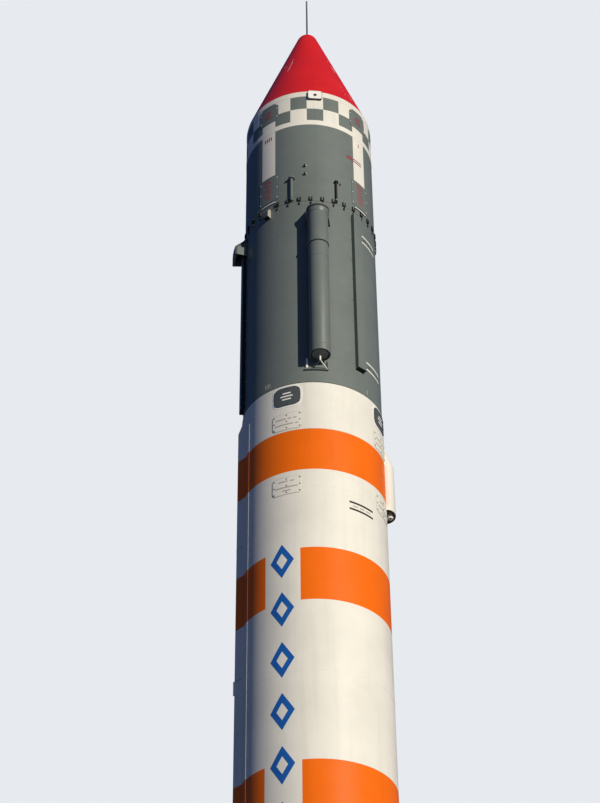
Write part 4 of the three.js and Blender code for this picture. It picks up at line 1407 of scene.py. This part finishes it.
def make_cups(letter):
    """U-shaped bolt cups round the fairing's rim: walls painted near-black as shade about a pale inside."""
    shape = Shape()
    for azimuth in BOLT_AZIMUTHS:
        if not on_half(azimuth, letter):
            continue
        cup = facing(azimuth, STAGE2_RADIUS, CUP_LEVEL)
        # The floor and walls of each cup are painted near-black as shade
        shape.block(cup, about(0, CUP_HALF), (0.001, 0.022), CUP_DEPTHS, "gap", 0.002)
        for wall in ((-CUP_HALF, CUP_WALL - CUP_HALF), (CUP_HALF - CUP_WALL, CUP_HALF)):
            shape.block(cup, wall, (0.020, CUP_TOP), CUP_DEPTHS, "gap", 0.002)
        shape.block(cup, about(0, 0.015), (0.021, CUP_TOP), (-0.002, 0.014), "grey", 0.001)
    piece(f"bolt_cups_{letter}", shape, f"fairing_half_{letter}")


SEAM_STRIP_LEVELS = (26.610, 27.44, 28.57, 28.69, 29.00, 29.33, 29.395, 29.48, 30.4, 31.2, 31.90)
SEAM_STRIP_HALF_ANGLE = 0.45
SEAM_STRIP_DEPTHS = (0.0004, 0.0018)


def make_seam_strip(letter):
    """A thin painted strip over the joint between the halves, on the half that carries it."""
    strip = about(HALVES[letter] + 90, SEAM_STRIP_HALF_ANGLE)
    under, over = SEAM_STRIP_DEPTHS
    shape = Shape()
    for levels in zip(SEAM_STRIP_LEVELS, SEAM_STRIP_LEVELS[1:]):
        shape.slab(strip, levels, over, fairing_paint, fairing_radius, sunk=-under)
    piece(f"seam_strip_{letter}", shape, f"fairing_half_{letter}")


PANEL_HALF_ANGLE = 10.75
PANEL_RIM = 0.35
PANELS = (
    # low, top, corners and depths of the rim and the face, dots' turn from the side and heights
    (26.80, 27.42, (0.02, 0.018), (0.0015, 0.0035), 1.3, (0.248, 0.0, -0.248)),
    (28.86, 29.30, (0.075, 0.070), (0.0020, 0.0038), 1.4, (-0.11, 0.11)),
)
PANEL_BARS = (
    # half height, depth, rows of (height above the middle, start, end)
    (0.015, 0.0048, (
        (0.245, -5.2, 2.2), (0.180, -4.2, 3.4), (0.105, -3.6, 3.0), (0.020, -4.6, 3.2), (-0.050, -3.8, 3.6),
        (-0.125, -4.4, 2.6), (-0.190, -3.0, 3.2),
    )),
    (0.016, 0.006, ((0.07, -3.0, 3.4), (0.0, -4.4, 3.0), (-0.07, -3.4, 3.8))),
)
FAIRING_TICKS = (28.385, 28.475)
FAIRING_TICK_WIDTH = 0.02
FAIRING_TICK_PITCH = 0.045

# Dark and pale line under each lower panel: half width, levels and depths. The dark line shows round the pale
# lip as painted shadow.
RIM_LINE_HALF = 7.7
RIM_LINES = (((26.712, 26.768), 0.002, "gap"), ((26.734, 26.753), 0.010, "bright"))

# Red mark beside a seam: a short bar and a double line, as start and end azimuth and levels
SEAM_MARK_AZIMUTH = 84
SEAM_MARKS = (
    (75, 82.5, (27.915, 27.99)),
    (82.5, 93, about(27.925, 0.011)),
    (82.5, 93, about(27.98, 0.011)),
)


def fairing_panel(shape, plane, panel, bars):
    """One panel with its outline, white dots and plain red bars."""
    low, top, corners, depths, dot_turn, dots = panel
    left, right = about(plane, PANEL_HALF_ANGLE)
    shape.slab((left, right), (low, top), depths[0], "line", corner=corners[0])
    inner = (left + PANEL_RIM, right - PANEL_RIM)
    shape.slab(inner, (low + 0.007, top - 0.007), depths[1], "grey", corner=corners[1], bevel=0.001)
    middle = (low + top) / 2
    for azimuth in about(plane, PANEL_HALF_ANGLE - dot_turn):
        for up in dots:
            shape.stud(azimuth, middle + up, 0.010, 0.008, "bright")
    half, depth, rows = bars
    shape.bars(plane, middle, rows, half, depth, "mark_red")


def make_fairing_panels(letter):
    """The panels at each plane, their ticks, the line at the joint and two double lines."""
    shape = Shape(STAGE2_RADIUS)
    for count, plane in PLANE_NUMBERS:
        if not on_half(plane, letter):
            continue
        for panel, bars in zip(PANELS, PANEL_BARS):
            fairing_panel(shape, plane, panel, bars)
        width, pitch = FAIRING_TICK_WIDTH, FAIRING_TICK_PITCH
        plane_ticks(shape, count, plane, FAIRING_TICKS, "mark_red", width, pitch)
        # The dark rim line is painted shadow round the pale lip
        for levels, depth, paint in RIM_LINES:
            shape.slab(about(plane, RIM_LINE_HALF), levels, depth, paint)
    for turn in (0, 180):
        if on_half(SEAM_MARK_AZIMUTH + turn, letter, 85):
            for start, stop, levels in SEAM_MARKS:
                shape.slab((start + turn, stop + turn), levels, PAINT_DEPTH, "mark_red")
    piece(f"fairing_panels_{letter}", shape, f"fairing_half_{letter}")


SEAM_EYES = {"a": 35.3, "b": 215.3}
SEAM_EYE_LEVELS = (27.48, 27.27)


def make_seam_eyes(letter):
    """A pair of small eyes beside each seam, each with a thin bright edge on one side painted as a highlight.
    """
    azimuth = SEAM_EYES[letter]
    shape = Shape()
    for level in SEAM_EYE_LEVELS:
        eye = facing(azimuth, STAGE2_RADIUS, level)
        shape.block(eye, about(0, 0.026), about(0, 0.029), (-0.002, 0.006), "grey", 0.002)
        shape.turned(eye, [(0.016, 0.004), (0.021, 0.006), (0.021, 0.044), (0.013, 0.047)], "black", 12)
        # A thin bright edge on the side of greater azimuth, painted as a highlight
        shape.block(eye, (0.014, 0.023), (-0.021, 0.021), (0.004, 0.038), "bright", 0.002)
    piece(f"seam_eyes_{letter}", shape, f"fairing_half_{letter}")


# Scratches on the cone, as rows of (azimuth, level), and their width
SCRATCHES = (
    (((10.2, 31.14), (10.9, 30.95), (10.0, 30.86), (9.5, 30.72), (7.9, 30.61)), 0.014),
    (((-8.2, 30.89), (-2.1, 30.90), (1.7, 30.93)), 0.026),
    (((83.0, 31.21), (84.0, 31.16)), 0.018),
    (((84.1, 31.00), (86.3, 30.98)), 0.024),
    (((86.0, 30.97), (88.0, 30.89), (90.0, 30.80)), 0.030),
    (((80.7, 30.67), (82.4, 30.66)), 0.022),
    (((80.1, 30.10), (81.4, 30.09)), 0.024),
    (((81.2, 29.98), (82.3, 29.97)), 0.024),
    (((80.0, 29.81), (82.5, 29.84)), 0.022),
    (((88.0, 29.92), (90.0, 29.84), (92.5, 29.76)), 0.020),
)


def scratch(path, width):
    """A thin strip along a path of (azimuth, level) points on the cone, narrower at both ends."""
    rings = []
    last = len(path) - 1
    for index, (azimuth, level) in enumerate(path):
        before, after = path[max(index - 1, 0)], path[min(index + 1, last)]
        radius = cone_radius(level)
        across = math.radians(after[0] - before[0]) * radius
        up = after[1] - before[1]
        length = math.hypot(across, up)
        half = width / 2 * (0.35 if index in (0, last) else 1.0)
        turn = math.degrees(half * up / length / radius)
        rise = half * across / length
        sides = (
            (azimuth + turn, level - rise, (-0.001, 0.0008)),
            (azimuth - turn, level + rise, (0.0008, -0.001)),
        )
        rings.append([at(cone_radius(z) + stand, a, z) for a, z, stands in sides for stand in stands])
    return rings


def make_scratches():
    """Scratches through the red paint, on the half that each one starts on."""
    shapes = {"a": Shape(), "b": Shape()}
    for path, width in SCRATCHES:
        letter = "a" if path[0][0] < SEAM_AZIMUTH else "b"
        shapes[letter].sweep(scratch(path, width), "scratch")
    for letter, shape in shapes.items():
        piece(f"cone_scratches_{letter}", shape, f"fairing_half_{letter}")


def make_nose_cap():
    """The red cap over the seam, down to the two sloped planes that the halves leave."""
    centre = HALVES["a"]
    last = math.asin((TIP_FLAT - TIP_CENTRE) / TIP_RADIUS)
    steps = 10
    ball = [CONE_ANGLE + (last - CONE_ANGLE) * step / steps for step in range(steps + 1)]
    tip = [(TIP_RADIUS * math.cos(angle), TIP_CENTRE + TIP_RADIUS * math.sin(angle)) for angle in ball]
    rings = []
    for azimuth in columns(centre - 180, centre + 180)[:-1]:
        low = cap_level(azimuth, centre, 0.0, 0.0)
        rings += around_axis([(0.0, CAP_LOW), (cone_radius(low), low), *tip], [azimuth])
    shape = Shape()
    shape.sweep(rings, "red", around=True, loop=False)
    merge_points(piece("nose_tip", shape, "fairing_half_a", ("nose_cap",)))


def merge_points(obj):
    """Joins the points that fell together on the axis."""
    work = bmesh.new()
    work.from_mesh(obj.data)
    bmesh.ops.remove_doubles(work, verts=work.verts, dist=1e-5)
    bmesh.ops.recalc_face_normals(work, faces=work.faces)
    work.to_mesh(obj.data)
    work.free()


def make_rod():
    """The lightning rod on its stepped foot."""
    low, top = span_of("lightning_rod")
    profile = [(0.034, low), (0.034, low + 0.012), (0.024, low + 0.03), (0.0175, low + 0.05)]
    profile += [(0.0175, low + 0.5), (0.0165, low + 0.502), (0.0165, top - 0.012), (0.010, top - 0.002)]
    shape = Shape()
    shape.turned(AXIS, [*profile, (0.006, top)], "rod", 24)
    piece("rod", shape, "fairing_half_a", ("lightning_rod",))


LOCK_SIDES = (-0.137, 0.134)
LOCK_DEPTHS = (1.195, 1.226)
LOCK_LID_DEPTHS = (1.222, 1.228)
LOCK_RIM = 0.007
LOCK_SOCKET = (0, 29.330, 1.2275)
LOCK_SOCKET_RADII = (0.029, 0.036)
LOCK_SCREWS_ACROSS = (-0.112, 0.109)
LOCK_SCREW_INSET = 0.028


def make_lock_box(number, azimuth, letter):
    """A flat white box over the seam, with rounded corners, a grey outline and a round socket whose inside is
    painted near-black as shade.
    """
    node = f"lock_box_{number}"
    low, top = span_of(node)
    place = facing(azimuth, 0.0, 0.0)
    shape = Shape(STAGE2_RADIUS)
    shape.block(place, LOCK_SIDES, (low, top), LOCK_DEPTHS, "line", 0.003, 0.035)
    lid = (low + LOCK_RIM, top - LOCK_RIM)
    lid_sides = (LOCK_SIDES[0] + LOCK_RIM, LOCK_SIDES[1] - LOCK_RIM)
    shape.block(place, lid_sides, lid, LOCK_LID_DEPTHS, "bright", 0.003, 0.030)
    shape.slab((azimuth - 3, azimuth - 1.2), (low + 0.01, top - 0.01), 0.014, "line")
    hole = moved(place, *LOCK_SOCKET)
    inside, outside = LOCK_SOCKET_RADII
    rim = [(inside, -0.001), (outside, 0.0), (outside, 0.0025), (inside, 0.0025)]
    shape.turned(hole, rim, "faint", 24, hollow=True)
    # The inside of the socket is painted near-black as shade
    shape.turned(hole, [(inside, -0.004), (inside, 0.0008)], "gap", 24)
    for x in LOCK_SCREWS_ACROSS:
        for level in (low + LOCK_SCREW_INSET, top - LOCK_SCREW_INSET):
            spot = moved(place, x, level, 1.227)
            shape.turned(spot, [(0.007, 0), (0.007, 0.002), (0.005, 0.003)], "faint", 8)
    piece(f"seam_lock_{number}", shape, f"fairing_half_{letter}", (node,))


THIN_PUSHER = 0.024
PUSHERS = (
    # number, azimuth, rod radius, head radius, half
    (1, 23.6, 0.028, 0.062, "a"),
    (2, 62.5, 0.020, 0.042, "b"),
    (3, 203.6, 0.028, 0.062, "b"),
    (4, 242.5, 0.020, 0.042, "a"),
)


def make_pusher(number, azimuth, rod, head, letter):
    """A spring pusher: rod, mushroom head and foot. The thin ones are painted near-black as shade and have a
    stop beside them.
    """
    node = f"pusher_{number}"
    low, top = span_of(node)
    place = upright(azimuth, STAGE2_RADIUS + head * 0.6)
    shape = Shape()
    neck = top - head * 1.3
    thin = rod < THIN_PUSHER
    # The thin pushers are painted near-black as shade
    paint = "gap" if thin else "grey"
    shape.turned(place, [(rod * 0.7, low), (rod, low + 0.006), (rod, neck + 0.01)], paint, 24)
    shape.turned(place, [(rod * 1.25, low + 0.05), (rod * 1.25, low + 0.075)], "bolt", 6)
    crown = neck + head * 0.2
    profile = [(rod, neck), (head, neck + head * 0.12)]
    for index in range(1, 6):
        angle = math.pi / 2 * index / 6
        profile.append((head * math.cos(angle), crown + (top - neck - head * 0.2) * math.sin(angle)))
    profile.append((0.004, top))
    rings = []
    for index in range(28):
        angle = 2 * math.pi * index / 28
        x, y = math.cos(angle), math.sin(angle)
        rings.append([outside_of(place @ Vector((r * x, r * y, z)), STAGE2_RADIUS) for r, z in profile])
    shape.sweep(rings, paint, around=True, loop=False)
    foot = facing(azimuth, STAGE2_RADIUS, low + 0.035)
    shape.block(foot, about(0, rod), about(0, 0.022), (-0.002, head * 0.6), paint, 0.004)
    shape.block(foot, about(0, rod * 1.7), (-0.012, 0.026), (-0.002, 0.008), "grey", 0.002)
    if thin:
        stop = facing(azimuth + 4.2, STAGE2_RADIUS, top - 0.045)
        shape.block(stop, about(0, 0.012), about(0, 0.022), (-0.002, 0.016), "gap", 0.003)
    piece(f"spring_pusher_{number}", shape, f"fairing_half_{letter}", (node,))


def outside_of(point, radius):
    """The point, moved out to the radius if it was nearer the axis."""
    reach = math.hypot(point.x, point.y)
    share = max(1.0, radius / reach)
    return Vector((point.x * share, point.y * share, point.z))


def make_fairing():
    """Both halves, the cap and rod that one of them carries, the lock boxes and the pushers."""
    for letter, gap in CAP_GAPS.items():
        make_fairing_shell(letter, gap)
        make_cups(letter)
        make_seam_strip(letter)
        make_fairing_panels(letter)
        make_seam_eyes(letter)
    make_scratches()
    make_nose_cap()
    make_rod()
    make_lock_box(1, SEAM_AZIMUTH, "a")
    make_lock_box(2, SEAM_AZIMUTH + 180, "b")
    for row in PUSHERS:
        make_pusher(*row)


# Tail and engine

def make_tail():
    """The tail skirt, its stand, and the engine with its vanes."""
    make_tail_skirt()
    make_support_ring()
    make_bulkhead()
    make_engine_block()
    make_pump_pipes()
    for number, plane in enumerate(PLANES, 1):
        make_chamber(number, plane)
        make_actuator(number, plane)
        make_vane(number, plane)


FIN_HALF = 0.025
FIN_EDGE = (
    # level, distance of the outer edge from the axis
    (0.25, 1.37),
    (0.43, 1.37),
    (1.50, STAGE1_RADIUS + 0.004),
)
TAIL_WALL = 0.05
TAIL_RIVETS = (0.40, 0.86, 1.60, 2.24)
TAIL_FRAMES = (0.9, 1.55)
TAIL_RIVET_COUNT = 120
TAIL_RIVET = 0.007
TAIL_FRAME_DEPTH = 0.035
TAIL_DOOR = (1.02, 1.46)
TAIL_DOOR_TURNS = (26, 40)
TAIL_DOOR_SCREWS = (27.2, 33, 38.8)
DARK_FOOT = 0.34


def make_tail_skirt():
    """The hollow skirt with its frames, rivets, small doors and four fins."""
    low, top = span_of("tail_skirt")
    outer, inner = STAGE1_RADIUS, STAGE1_RADIUS - TAIL_WALL
    profile = [(inner, low), (outer - EDGE, low), (outer, low + EDGE), (outer, DARK_FOOT), (outer, 0.9)]
    profile += [(outer, top - EDGE), (outer - EDGE, top), (inner, top)]

    def paint(point):
        if math.hypot(point[0], point[1]) < inner + 0.01:
            return "primer"
        return "dark_grey" if point[2] < DARK_FOOT else "white"

    around = columns()[:-1]
    shape = Shape()
    shape.sweep(around_axis(profile, around), paint, around=True)
    for level in TAIL_RIVETS:
        rivet_row(shape, level, TAIL_RIVET_COUNT, TAIL_RIVET)
    for level in TAIL_FRAMES:
        foot, head = about(level, 0.02)
        root, crest = inner + 0.004, inner - TAIL_FRAME_DEPTH
        section = [(root, foot), (crest, foot), (crest, head), (root, head)]
        shape.sweep(around_axis(section, around), "primer", around=True)
    for plane in PLANES:
        low, top = TAIL_DOOR
        sides = [plane + turn for turn in TAIL_DOOR_TURNS]
        shape.slab(sides, (low, top), 0.006, "white", corner=0.05, bevel=0.002)
        for across in TAIL_DOOR_SCREWS:
            for level in (low + 0.04, top - 0.04):
                shape.stud(plane + across, level, 0.008, 0.010, "bolt")
        fin(shape, plane)
    piece("tail_skirt_skin", shape, "vehicle", ("tail_skirt",))


def fin(shape, azimuth):
    """A thin wedge fin with a sharp outer edge."""
    root, half, tip = STAGE1_RADIUS - 0.01, FIN_HALF, 0.004
    place = facing(azimuth, 0.0, 0.0)
    rings = []
    for level, reach in FIN_EDGE:
        middle = root + (reach - root) * 0.6
        section = ((-half, root), (-half, middle), (-tip, reach), (tip, reach), (half, middle), (half, root))
        rings.append([place @ Vector((x, level, z)) for x, z in section])
    shape.sweep(rings, "white")


SUPPORT_LOW = 0.03
SUPPORT_OUTER = 1.195
SUPPORT_INNER = 1.040
PAD_LEVELS = (0.0, 0.118)
PAD_RADII = (1.030, 1.214)
PAD_HALF = 0.13
PAD_BOLTS_ACROSS = (-0.09, 0.09)
PAD_BOLT_LEVEL = 0.075
SUPPORT_BOLTS = 48
SUPPORT_BOLT_LEVEL = 0.14


def make_support_ring():
    """The ring and pads that stand on the launch supports."""
    low, top = SUPPORT_LOW, span_of("tail_support_ring")[1]
    outer, inner = SUPPORT_OUTER, SUPPORT_INNER
    waist = outer - 0.02
    profile = [(inner, low + 0.004), (inner + 0.004, low), (outer - 0.004, low), (outer, low + 0.004)]
    profile += [(outer, 0.10), (waist, 0.11), (waist, 0.165), (outer, 0.175), (outer, top), (inner, top)]
    shape = Shape(waist)
    shape.sweep(around_axis(profile, columns()[:-1]), "support", around=True)
    for plane in PLANES:
        pad = facing(plane + 45, 0.0, 0.0)
        shape.block(pad, about(0, PAD_HALF), PAD_LEVELS, PAD_RADII, "support", 0.006)
        for across in PAD_BOLTS_ACROSS:
            spot = moved(pad, across, PAD_BOLT_LEVEL, PAD_RADII[1] - 0.001)
            shape.turned(spot, [(0.018, -0.003), (0.018, 0.0005)], "bolt", 6)
    for index in range(SUPPORT_BOLTS):
        azimuth = 360 * (index + 0.5) / SUPPORT_BOLTS
        shape.stud(azimuth, SUPPORT_BOLT_LEVEL, 0.010, 0.012, "bolt", 6)
    piece("support_ring", shape, "vehicle", ("tail_support_ring",))


def make_bulkhead():
    """The ribbed plate above the engine."""
    low, top = span_of("engine_bulkhead")
    profile = [(0.02, low + 0.02), (1.10, low + 0.02), (1.13, low), (1.149, low), (1.149, top), (0.02, top)]
    shape = Shape()
    shape.turned(AXIS, profile, "primer", 96)
    for azimuth in range(15, 360, 30):
        place = facing(azimuth, 0.0, low)
        shape.block(place, about(0, 0.012), (0.001, 0.03), (0.40, 1.12), "primer", 0.002)
    piece("bulkhead_panel", shape, "vehicle", ("engine_bulkhead",))


def bent(points, radius):
    """A route through points with rounded corners."""
    points = [Vector(point) for point in points]
    route = [points[0]]
    for before, corner, after in zip(points, points[1:], points[2:]):
        back = (before - corner).normalized() * min(radius, (before - corner).length / 2)
        ahead = (after - corner).normalized() * min(radius, (after - corner).length / 2)
        for step in range(CORNER_STEPS + 1):
            share = step / CORNER_STEPS
            route.append(corner + back * (1 - share) ** 2 + ahead * share ** 2)
    route.append(points[-1])
    return route


BLOCK_HALF = 0.20
BLOCK_BANDS = (1.50, 1.72, 1.94)
BLOCK_BAND_HALF = 0.212
BLOCK_BAND_HEIGHT = 0.03


def make_engine_block():
    """The pump block with its bands and its round outlet."""
    low, top = span_of("engine_block")
    shape = Shape()
    square, band = about(0, BLOCK_HALF), about(0, BLOCK_BAND_HALF)
    shape.block(AXIS, square, square, (low + 0.06, top), "steel", 0.03)
    outlet = [(0.06, low), (0.14, low + 0.01), (0.17, low + 0.08), (0.17, low + 0.12)]
    shape.turned(AXIS, outlet, "nozzle", 32)
    for level in BLOCK_BANDS:
        shape.block(AXIS, band, band, (level, level + BLOCK_BAND_HEIGHT), "steel", 0.006)
    piece("pump_block", shape, "vehicle", ("engine_block",))


PUMP_PIPES = (
    # radius, bend, paint, route as (across, level, distance from the axis)
    (0.028, 0.05, "copper", (
        (0.10, 1.86, 0.19), (0.10, 1.86, 0.30), (0.12, 1.96, 0.33), (0.14, 2.0, 0.46),
    )),
    (0.020, 0.06, "steel", (
        (-0.11, 1.60, 0.19), (-0.11, 1.60, 0.30), (-0.26, 1.36, 0.40), (-0.30, 1.30, 0.55),
    )),
)


def make_pump_pipes():
    """Two pipes from the pump block to each chamber."""
    shape = Shape()
    for plane in PLANES:
        place = facing(plane, 0.0, 0.0)
        for radius, bend, paint, route in PUMP_PIPES:
            shape.pipe([place @ Vector(point) for point in bent(route, bend)], radius, paint)
    piece("pump_pipes", shape, "vehicle")


CHAMBER_CENTRE = 0.620
BELL_RADIUS = 0.375
THROAT_RADIUS = 0.152
THROAT_LEVEL = 1.60
CHAMBER_LEVEL = 1.74
BELL_WALL = 0.022
BELL_RINGS = ((0.83, 0.012), (0.98, 0.010), (1.14, 0.010), (1.30, 0.010))
MANIFOLD_CENTRE = (0.345, 0.90)
MANIFOLD_RADIUS = 0.026


def bell_radius(share):
    """Outside of the bell at a share of its height from the mouth to the throat."""
    return BELL_RADIUS - (BELL_RADIUS - THROAT_RADIUS) * share ** 1.35


def make_chamber(number, azimuth):
    """A thrust chamber with a smooth bell, stiffening rings and a cooling manifold."""
    node = f"thrust_chamber_{number}"
    low, top = span_of(node)
    throat, chamber = THROAT_LEVEL, CHAMBER_LEVEL
    steps = 12
    bell = [(bell_radius(index / steps), low + (throat - low) * (index / steps)) for index in range(1, steps)]
    outer = [(0.352, low), (BELL_RADIUS, low), *bell]
    outer += [(0.150, throat), (0.158, throat + 0.05), (0.212, chamber - 0.02), (0.220, chamber + 0.03)]
    outer += [(0.220, 2.05), (0.19, 2.10), (0.12, top), (0.01, top)]
    inner = [(radius - BELL_WALL, level) for radius, level in bell]
    inner += [(0.124, throat), (0.13, throat + 0.05), (0.185, chamber), (0.190, chamber + 0.03)]
    inner += [(0.190, 2.04), (0.01, 2.08)]
    place = upright(azimuth, CHAMBER_CENTRE)
    centre = place.translation

    # The inside of the bell is painted dark as shade
    def paint(point):
        reach = math.hypot(point[0] - centre.x, point[1] - centre.y)
        share = (point[2] - low) / (throat - low)
        return "painted_shade" if reach < bell_radius(max(0.0, min(1.0, share))) - 0.018 else "nozzle"

    shape = Shape()
    shape.turned(place, [*outer, *reversed(inner)], paint, 48, hollow=True)
    for level, stand in BELL_RINGS:
        radius = bell_radius((level - low) / (throat - low))
        ring = [(radius - 0.004, level - 0.014), (radius + stand, level - 0.010)]
        ring += [(radius + stand - 0.004, level + 0.010), (radius - 0.010, level + 0.014)]
        shape.turned(place, ring, "nozzle", 48, hollow=True)
    angles = [2 * math.pi * index / 10 for index in range(10)]
    (reach, height), bulge = MANIFOLD_CENTRE, MANIFOLD_RADIUS
    manifold = [(reach + bulge * math.cos(angle), height + bulge * math.sin(angle)) for angle in angles]
    shape.turned(place, manifold, "steel", 48, hollow=True)
    piece(f"chamber_{number}", shape, "vehicle", (node,))


VANE_AXIS = 0.52
VANE_LEVELS = (0.30, 0.64)
VANE_HALF = 0.023
ACTUATOR_HALF = 0.085
ACTUATOR_LEVELS = (0.405, 0.635)
ACTUATOR_REACH = (1.012, 1.146)
ACTUATOR_BOLTS_ACROSS = (-0.06, 0.06)
ACTUATOR_BOLT_LEVELS = (0.43, 0.61)


def make_actuator(number, azimuth):
    """A vane's drive: a box with a round hub, four bolts and a plug."""
    place = facing(azimuth, 0.0, 0.0)
    shape = Shape()
    shape.block(place, about(0, ACTUATOR_HALF), ACTUATOR_LEVELS, ACTUATOR_REACH, "steel", 0.012)
    shape.turned(moved(place, 0, VANE_AXIS, 1.0), [(0.044, 0.0), (0.060, 0.003), (0.060, 0.02)], "steel", 24)
    for across in ACTUATOR_BOLTS_ACROSS:
        for level in ACTUATOR_BOLT_LEVELS:
            shape.turned(moved(place, across, level, 1.006), [(0.010, 0.0), (0.010, 0.012)], "bolt", 6)
    shape.rod(place @ Vector((0.05, 0.635, 1.08)), place @ Vector((0.05, 0.64, 1.08)), 0.02, "copper")
    piece(f"actuator_{number}", shape, "vehicle", (f"vane_actuator_{number}",))


def make_vane(number, azimuth):
    """A graphite jet vane with a faired section, a steel root and its shaft."""
    place = facing(azimuth, 0.0, 0.0)
    (low, top), axis, half = VANE_LEVELS, VANE_AXIS, VANE_HALF
    section = [(0.003, low), (half * 0.7, low + 0.10), (half, axis - 0.06), (half, axis + 0.02)]
    section += [(half * 0.75, axis + 0.07), (half * 0.35, top)]
    outline = section + [(-x, z) for x, z in reversed(section)]
    rings = []
    for reach, shrink in ((0.440, 0.90), (0.447, 1.0), (0.80, 1.0)):
        rings.append([place @ Vector((x * shrink, axis + (z - axis) * shrink, reach)) for x, z in outline])
    shape = Shape()
    shape.sweep(rings, "graphite")
    root = [(x, axis + (z - axis) * 0.9) for x, z in outline]
    shape.prism(place, root, (0.800, 0.838), "steel")
    shaft = [(0.030, 0), (0.038, 0.004), (0.038, 0.162), (0.034, 0.166)]
    shape.turned(moved(place, 0, axis, 0.830), shaft, "steel", 24)
    piece(f"vane_{number}_blade", shape, f"vane_{number}", (f"jet_vane_{number}",))


# Camera, lights and floor

def make_camera():
    """The camera, turned by azimuth, pitch, yaw and roll."""
    azimuth, pitch = math.radians(CAMERA_AZIMUTH), math.radians(CAMERA_PITCH)
    roll, yaw = math.radians(CAMERA_ROLL), math.radians(CAMERA_YAW)
    level_right = Vector((math.cos(azimuth), math.sin(azimuth), 0))
    inwards = Vector((-math.sin(azimuth), math.cos(azimuth), 0))
    heading = math.sin(yaw) * level_right + math.cos(yaw) * inwards
    right = math.cos(yaw) * level_right - math.sin(yaw) * inwards
    up_axis = Vector((0, 0, 1))
    ahead = math.cos(pitch) * heading + math.sin(pitch) * up_axis
    up = -math.sin(pitch) * heading + math.cos(pitch) * up_axis
    rolled_right = math.cos(roll) * right - math.sin(roll) * up
    rolled_up = math.sin(roll) * right + math.cos(roll) * up
    data = bpy.data.cameras.new("camera")
    data.sensor_width = SENSOR
    data.lens = FOCAL_PIXELS * SENSOR / IMAGE_LONG_SIDE
    data.clip_end = VIEW_LIMIT
    camera = bpy.data.objects.new("camera", data)
    place = Matrix((rolled_right, rolled_up, -ahead)).transposed().to_4x4()
    place.translation = at(CAMERA_DISTANCE, CAMERA_AZIMUTH, CAMERA_LEVEL)
    camera.matrix_world = place
    bpy.context.scene.collection.objects.link(camera)
    bpy.context.scene.camera = camera


def make_light():
    """A warm low sun, a faint blue fill and a pale plain backdrop."""
    data = bpy.data.lights.new("key", "SUN")
    data.energy = SUN_STRENGTH
    data.angle = math.radians(SUN_ANGLE)
    data.color = SUN_COLOUR
    key = bpy.data.objects.new("key", data)
    towards = at(math.cos(math.radians(SUN_ELEVATION)), SUN_AZIMUTH, math.sin(math.radians(SUN_ELEVATION)))
    key.rotation_euler = towards.to_track_quat("Z", "Y").to_euler()
    bpy.context.scene.collection.objects.link(key)
    world = bpy.data.worlds.new("world")
    bpy.context.scene.world = world
    world.use_nodes = True
    nodes, links = world.node_tree.nodes, world.node_tree.links
    fill = nodes["Background"]
    fill.inputs["Color"].default_value = (*FILL_COLOUR, 1)
    fill.inputs["Strength"].default_value = FILL_STRENGTH
    backdrop = nodes.new("ShaderNodeBackground")
    backdrop.inputs["Color"].default_value = (*BACKDROP_COLOUR, 1)
    chosen = nodes.new("ShaderNodeMixShader")
    rays = nodes.new("ShaderNodeLightPath")
    links.new(rays.outputs["Is Camera Ray"], chosen.inputs[0])
    links.new(fill.outputs[0], chosen.inputs[1])
    links.new(backdrop.outputs[0], chosen.inputs[2])
    links.new(chosen.outputs[0], nodes["World Output"].inputs["Surface"])


def make_floor():
    """A wide plain floor."""
    reach = FLOOR_REACH
    data = bpy.data.meshes.new("floor")
    corners = [(-reach, -reach, 0), (reach, -reach, 0), (reach, reach, 0), (-reach, reach, 0)]
    data.from_pydata(corners, [], [(0, 1, 2, 3)])
    data.materials.append(plain_floor("floor"))
    floor = bpy.data.objects.new("floor", data)
    bpy.context.scene.collection.objects.link(floor)


make_camera()
make_light()
make_floor()
make_tail()
make_stage1()
make_stage2()
make_fairing()
bpy.context.scene.view_settings.view_transform = "Standard"

bpy.context.view_layer.update()
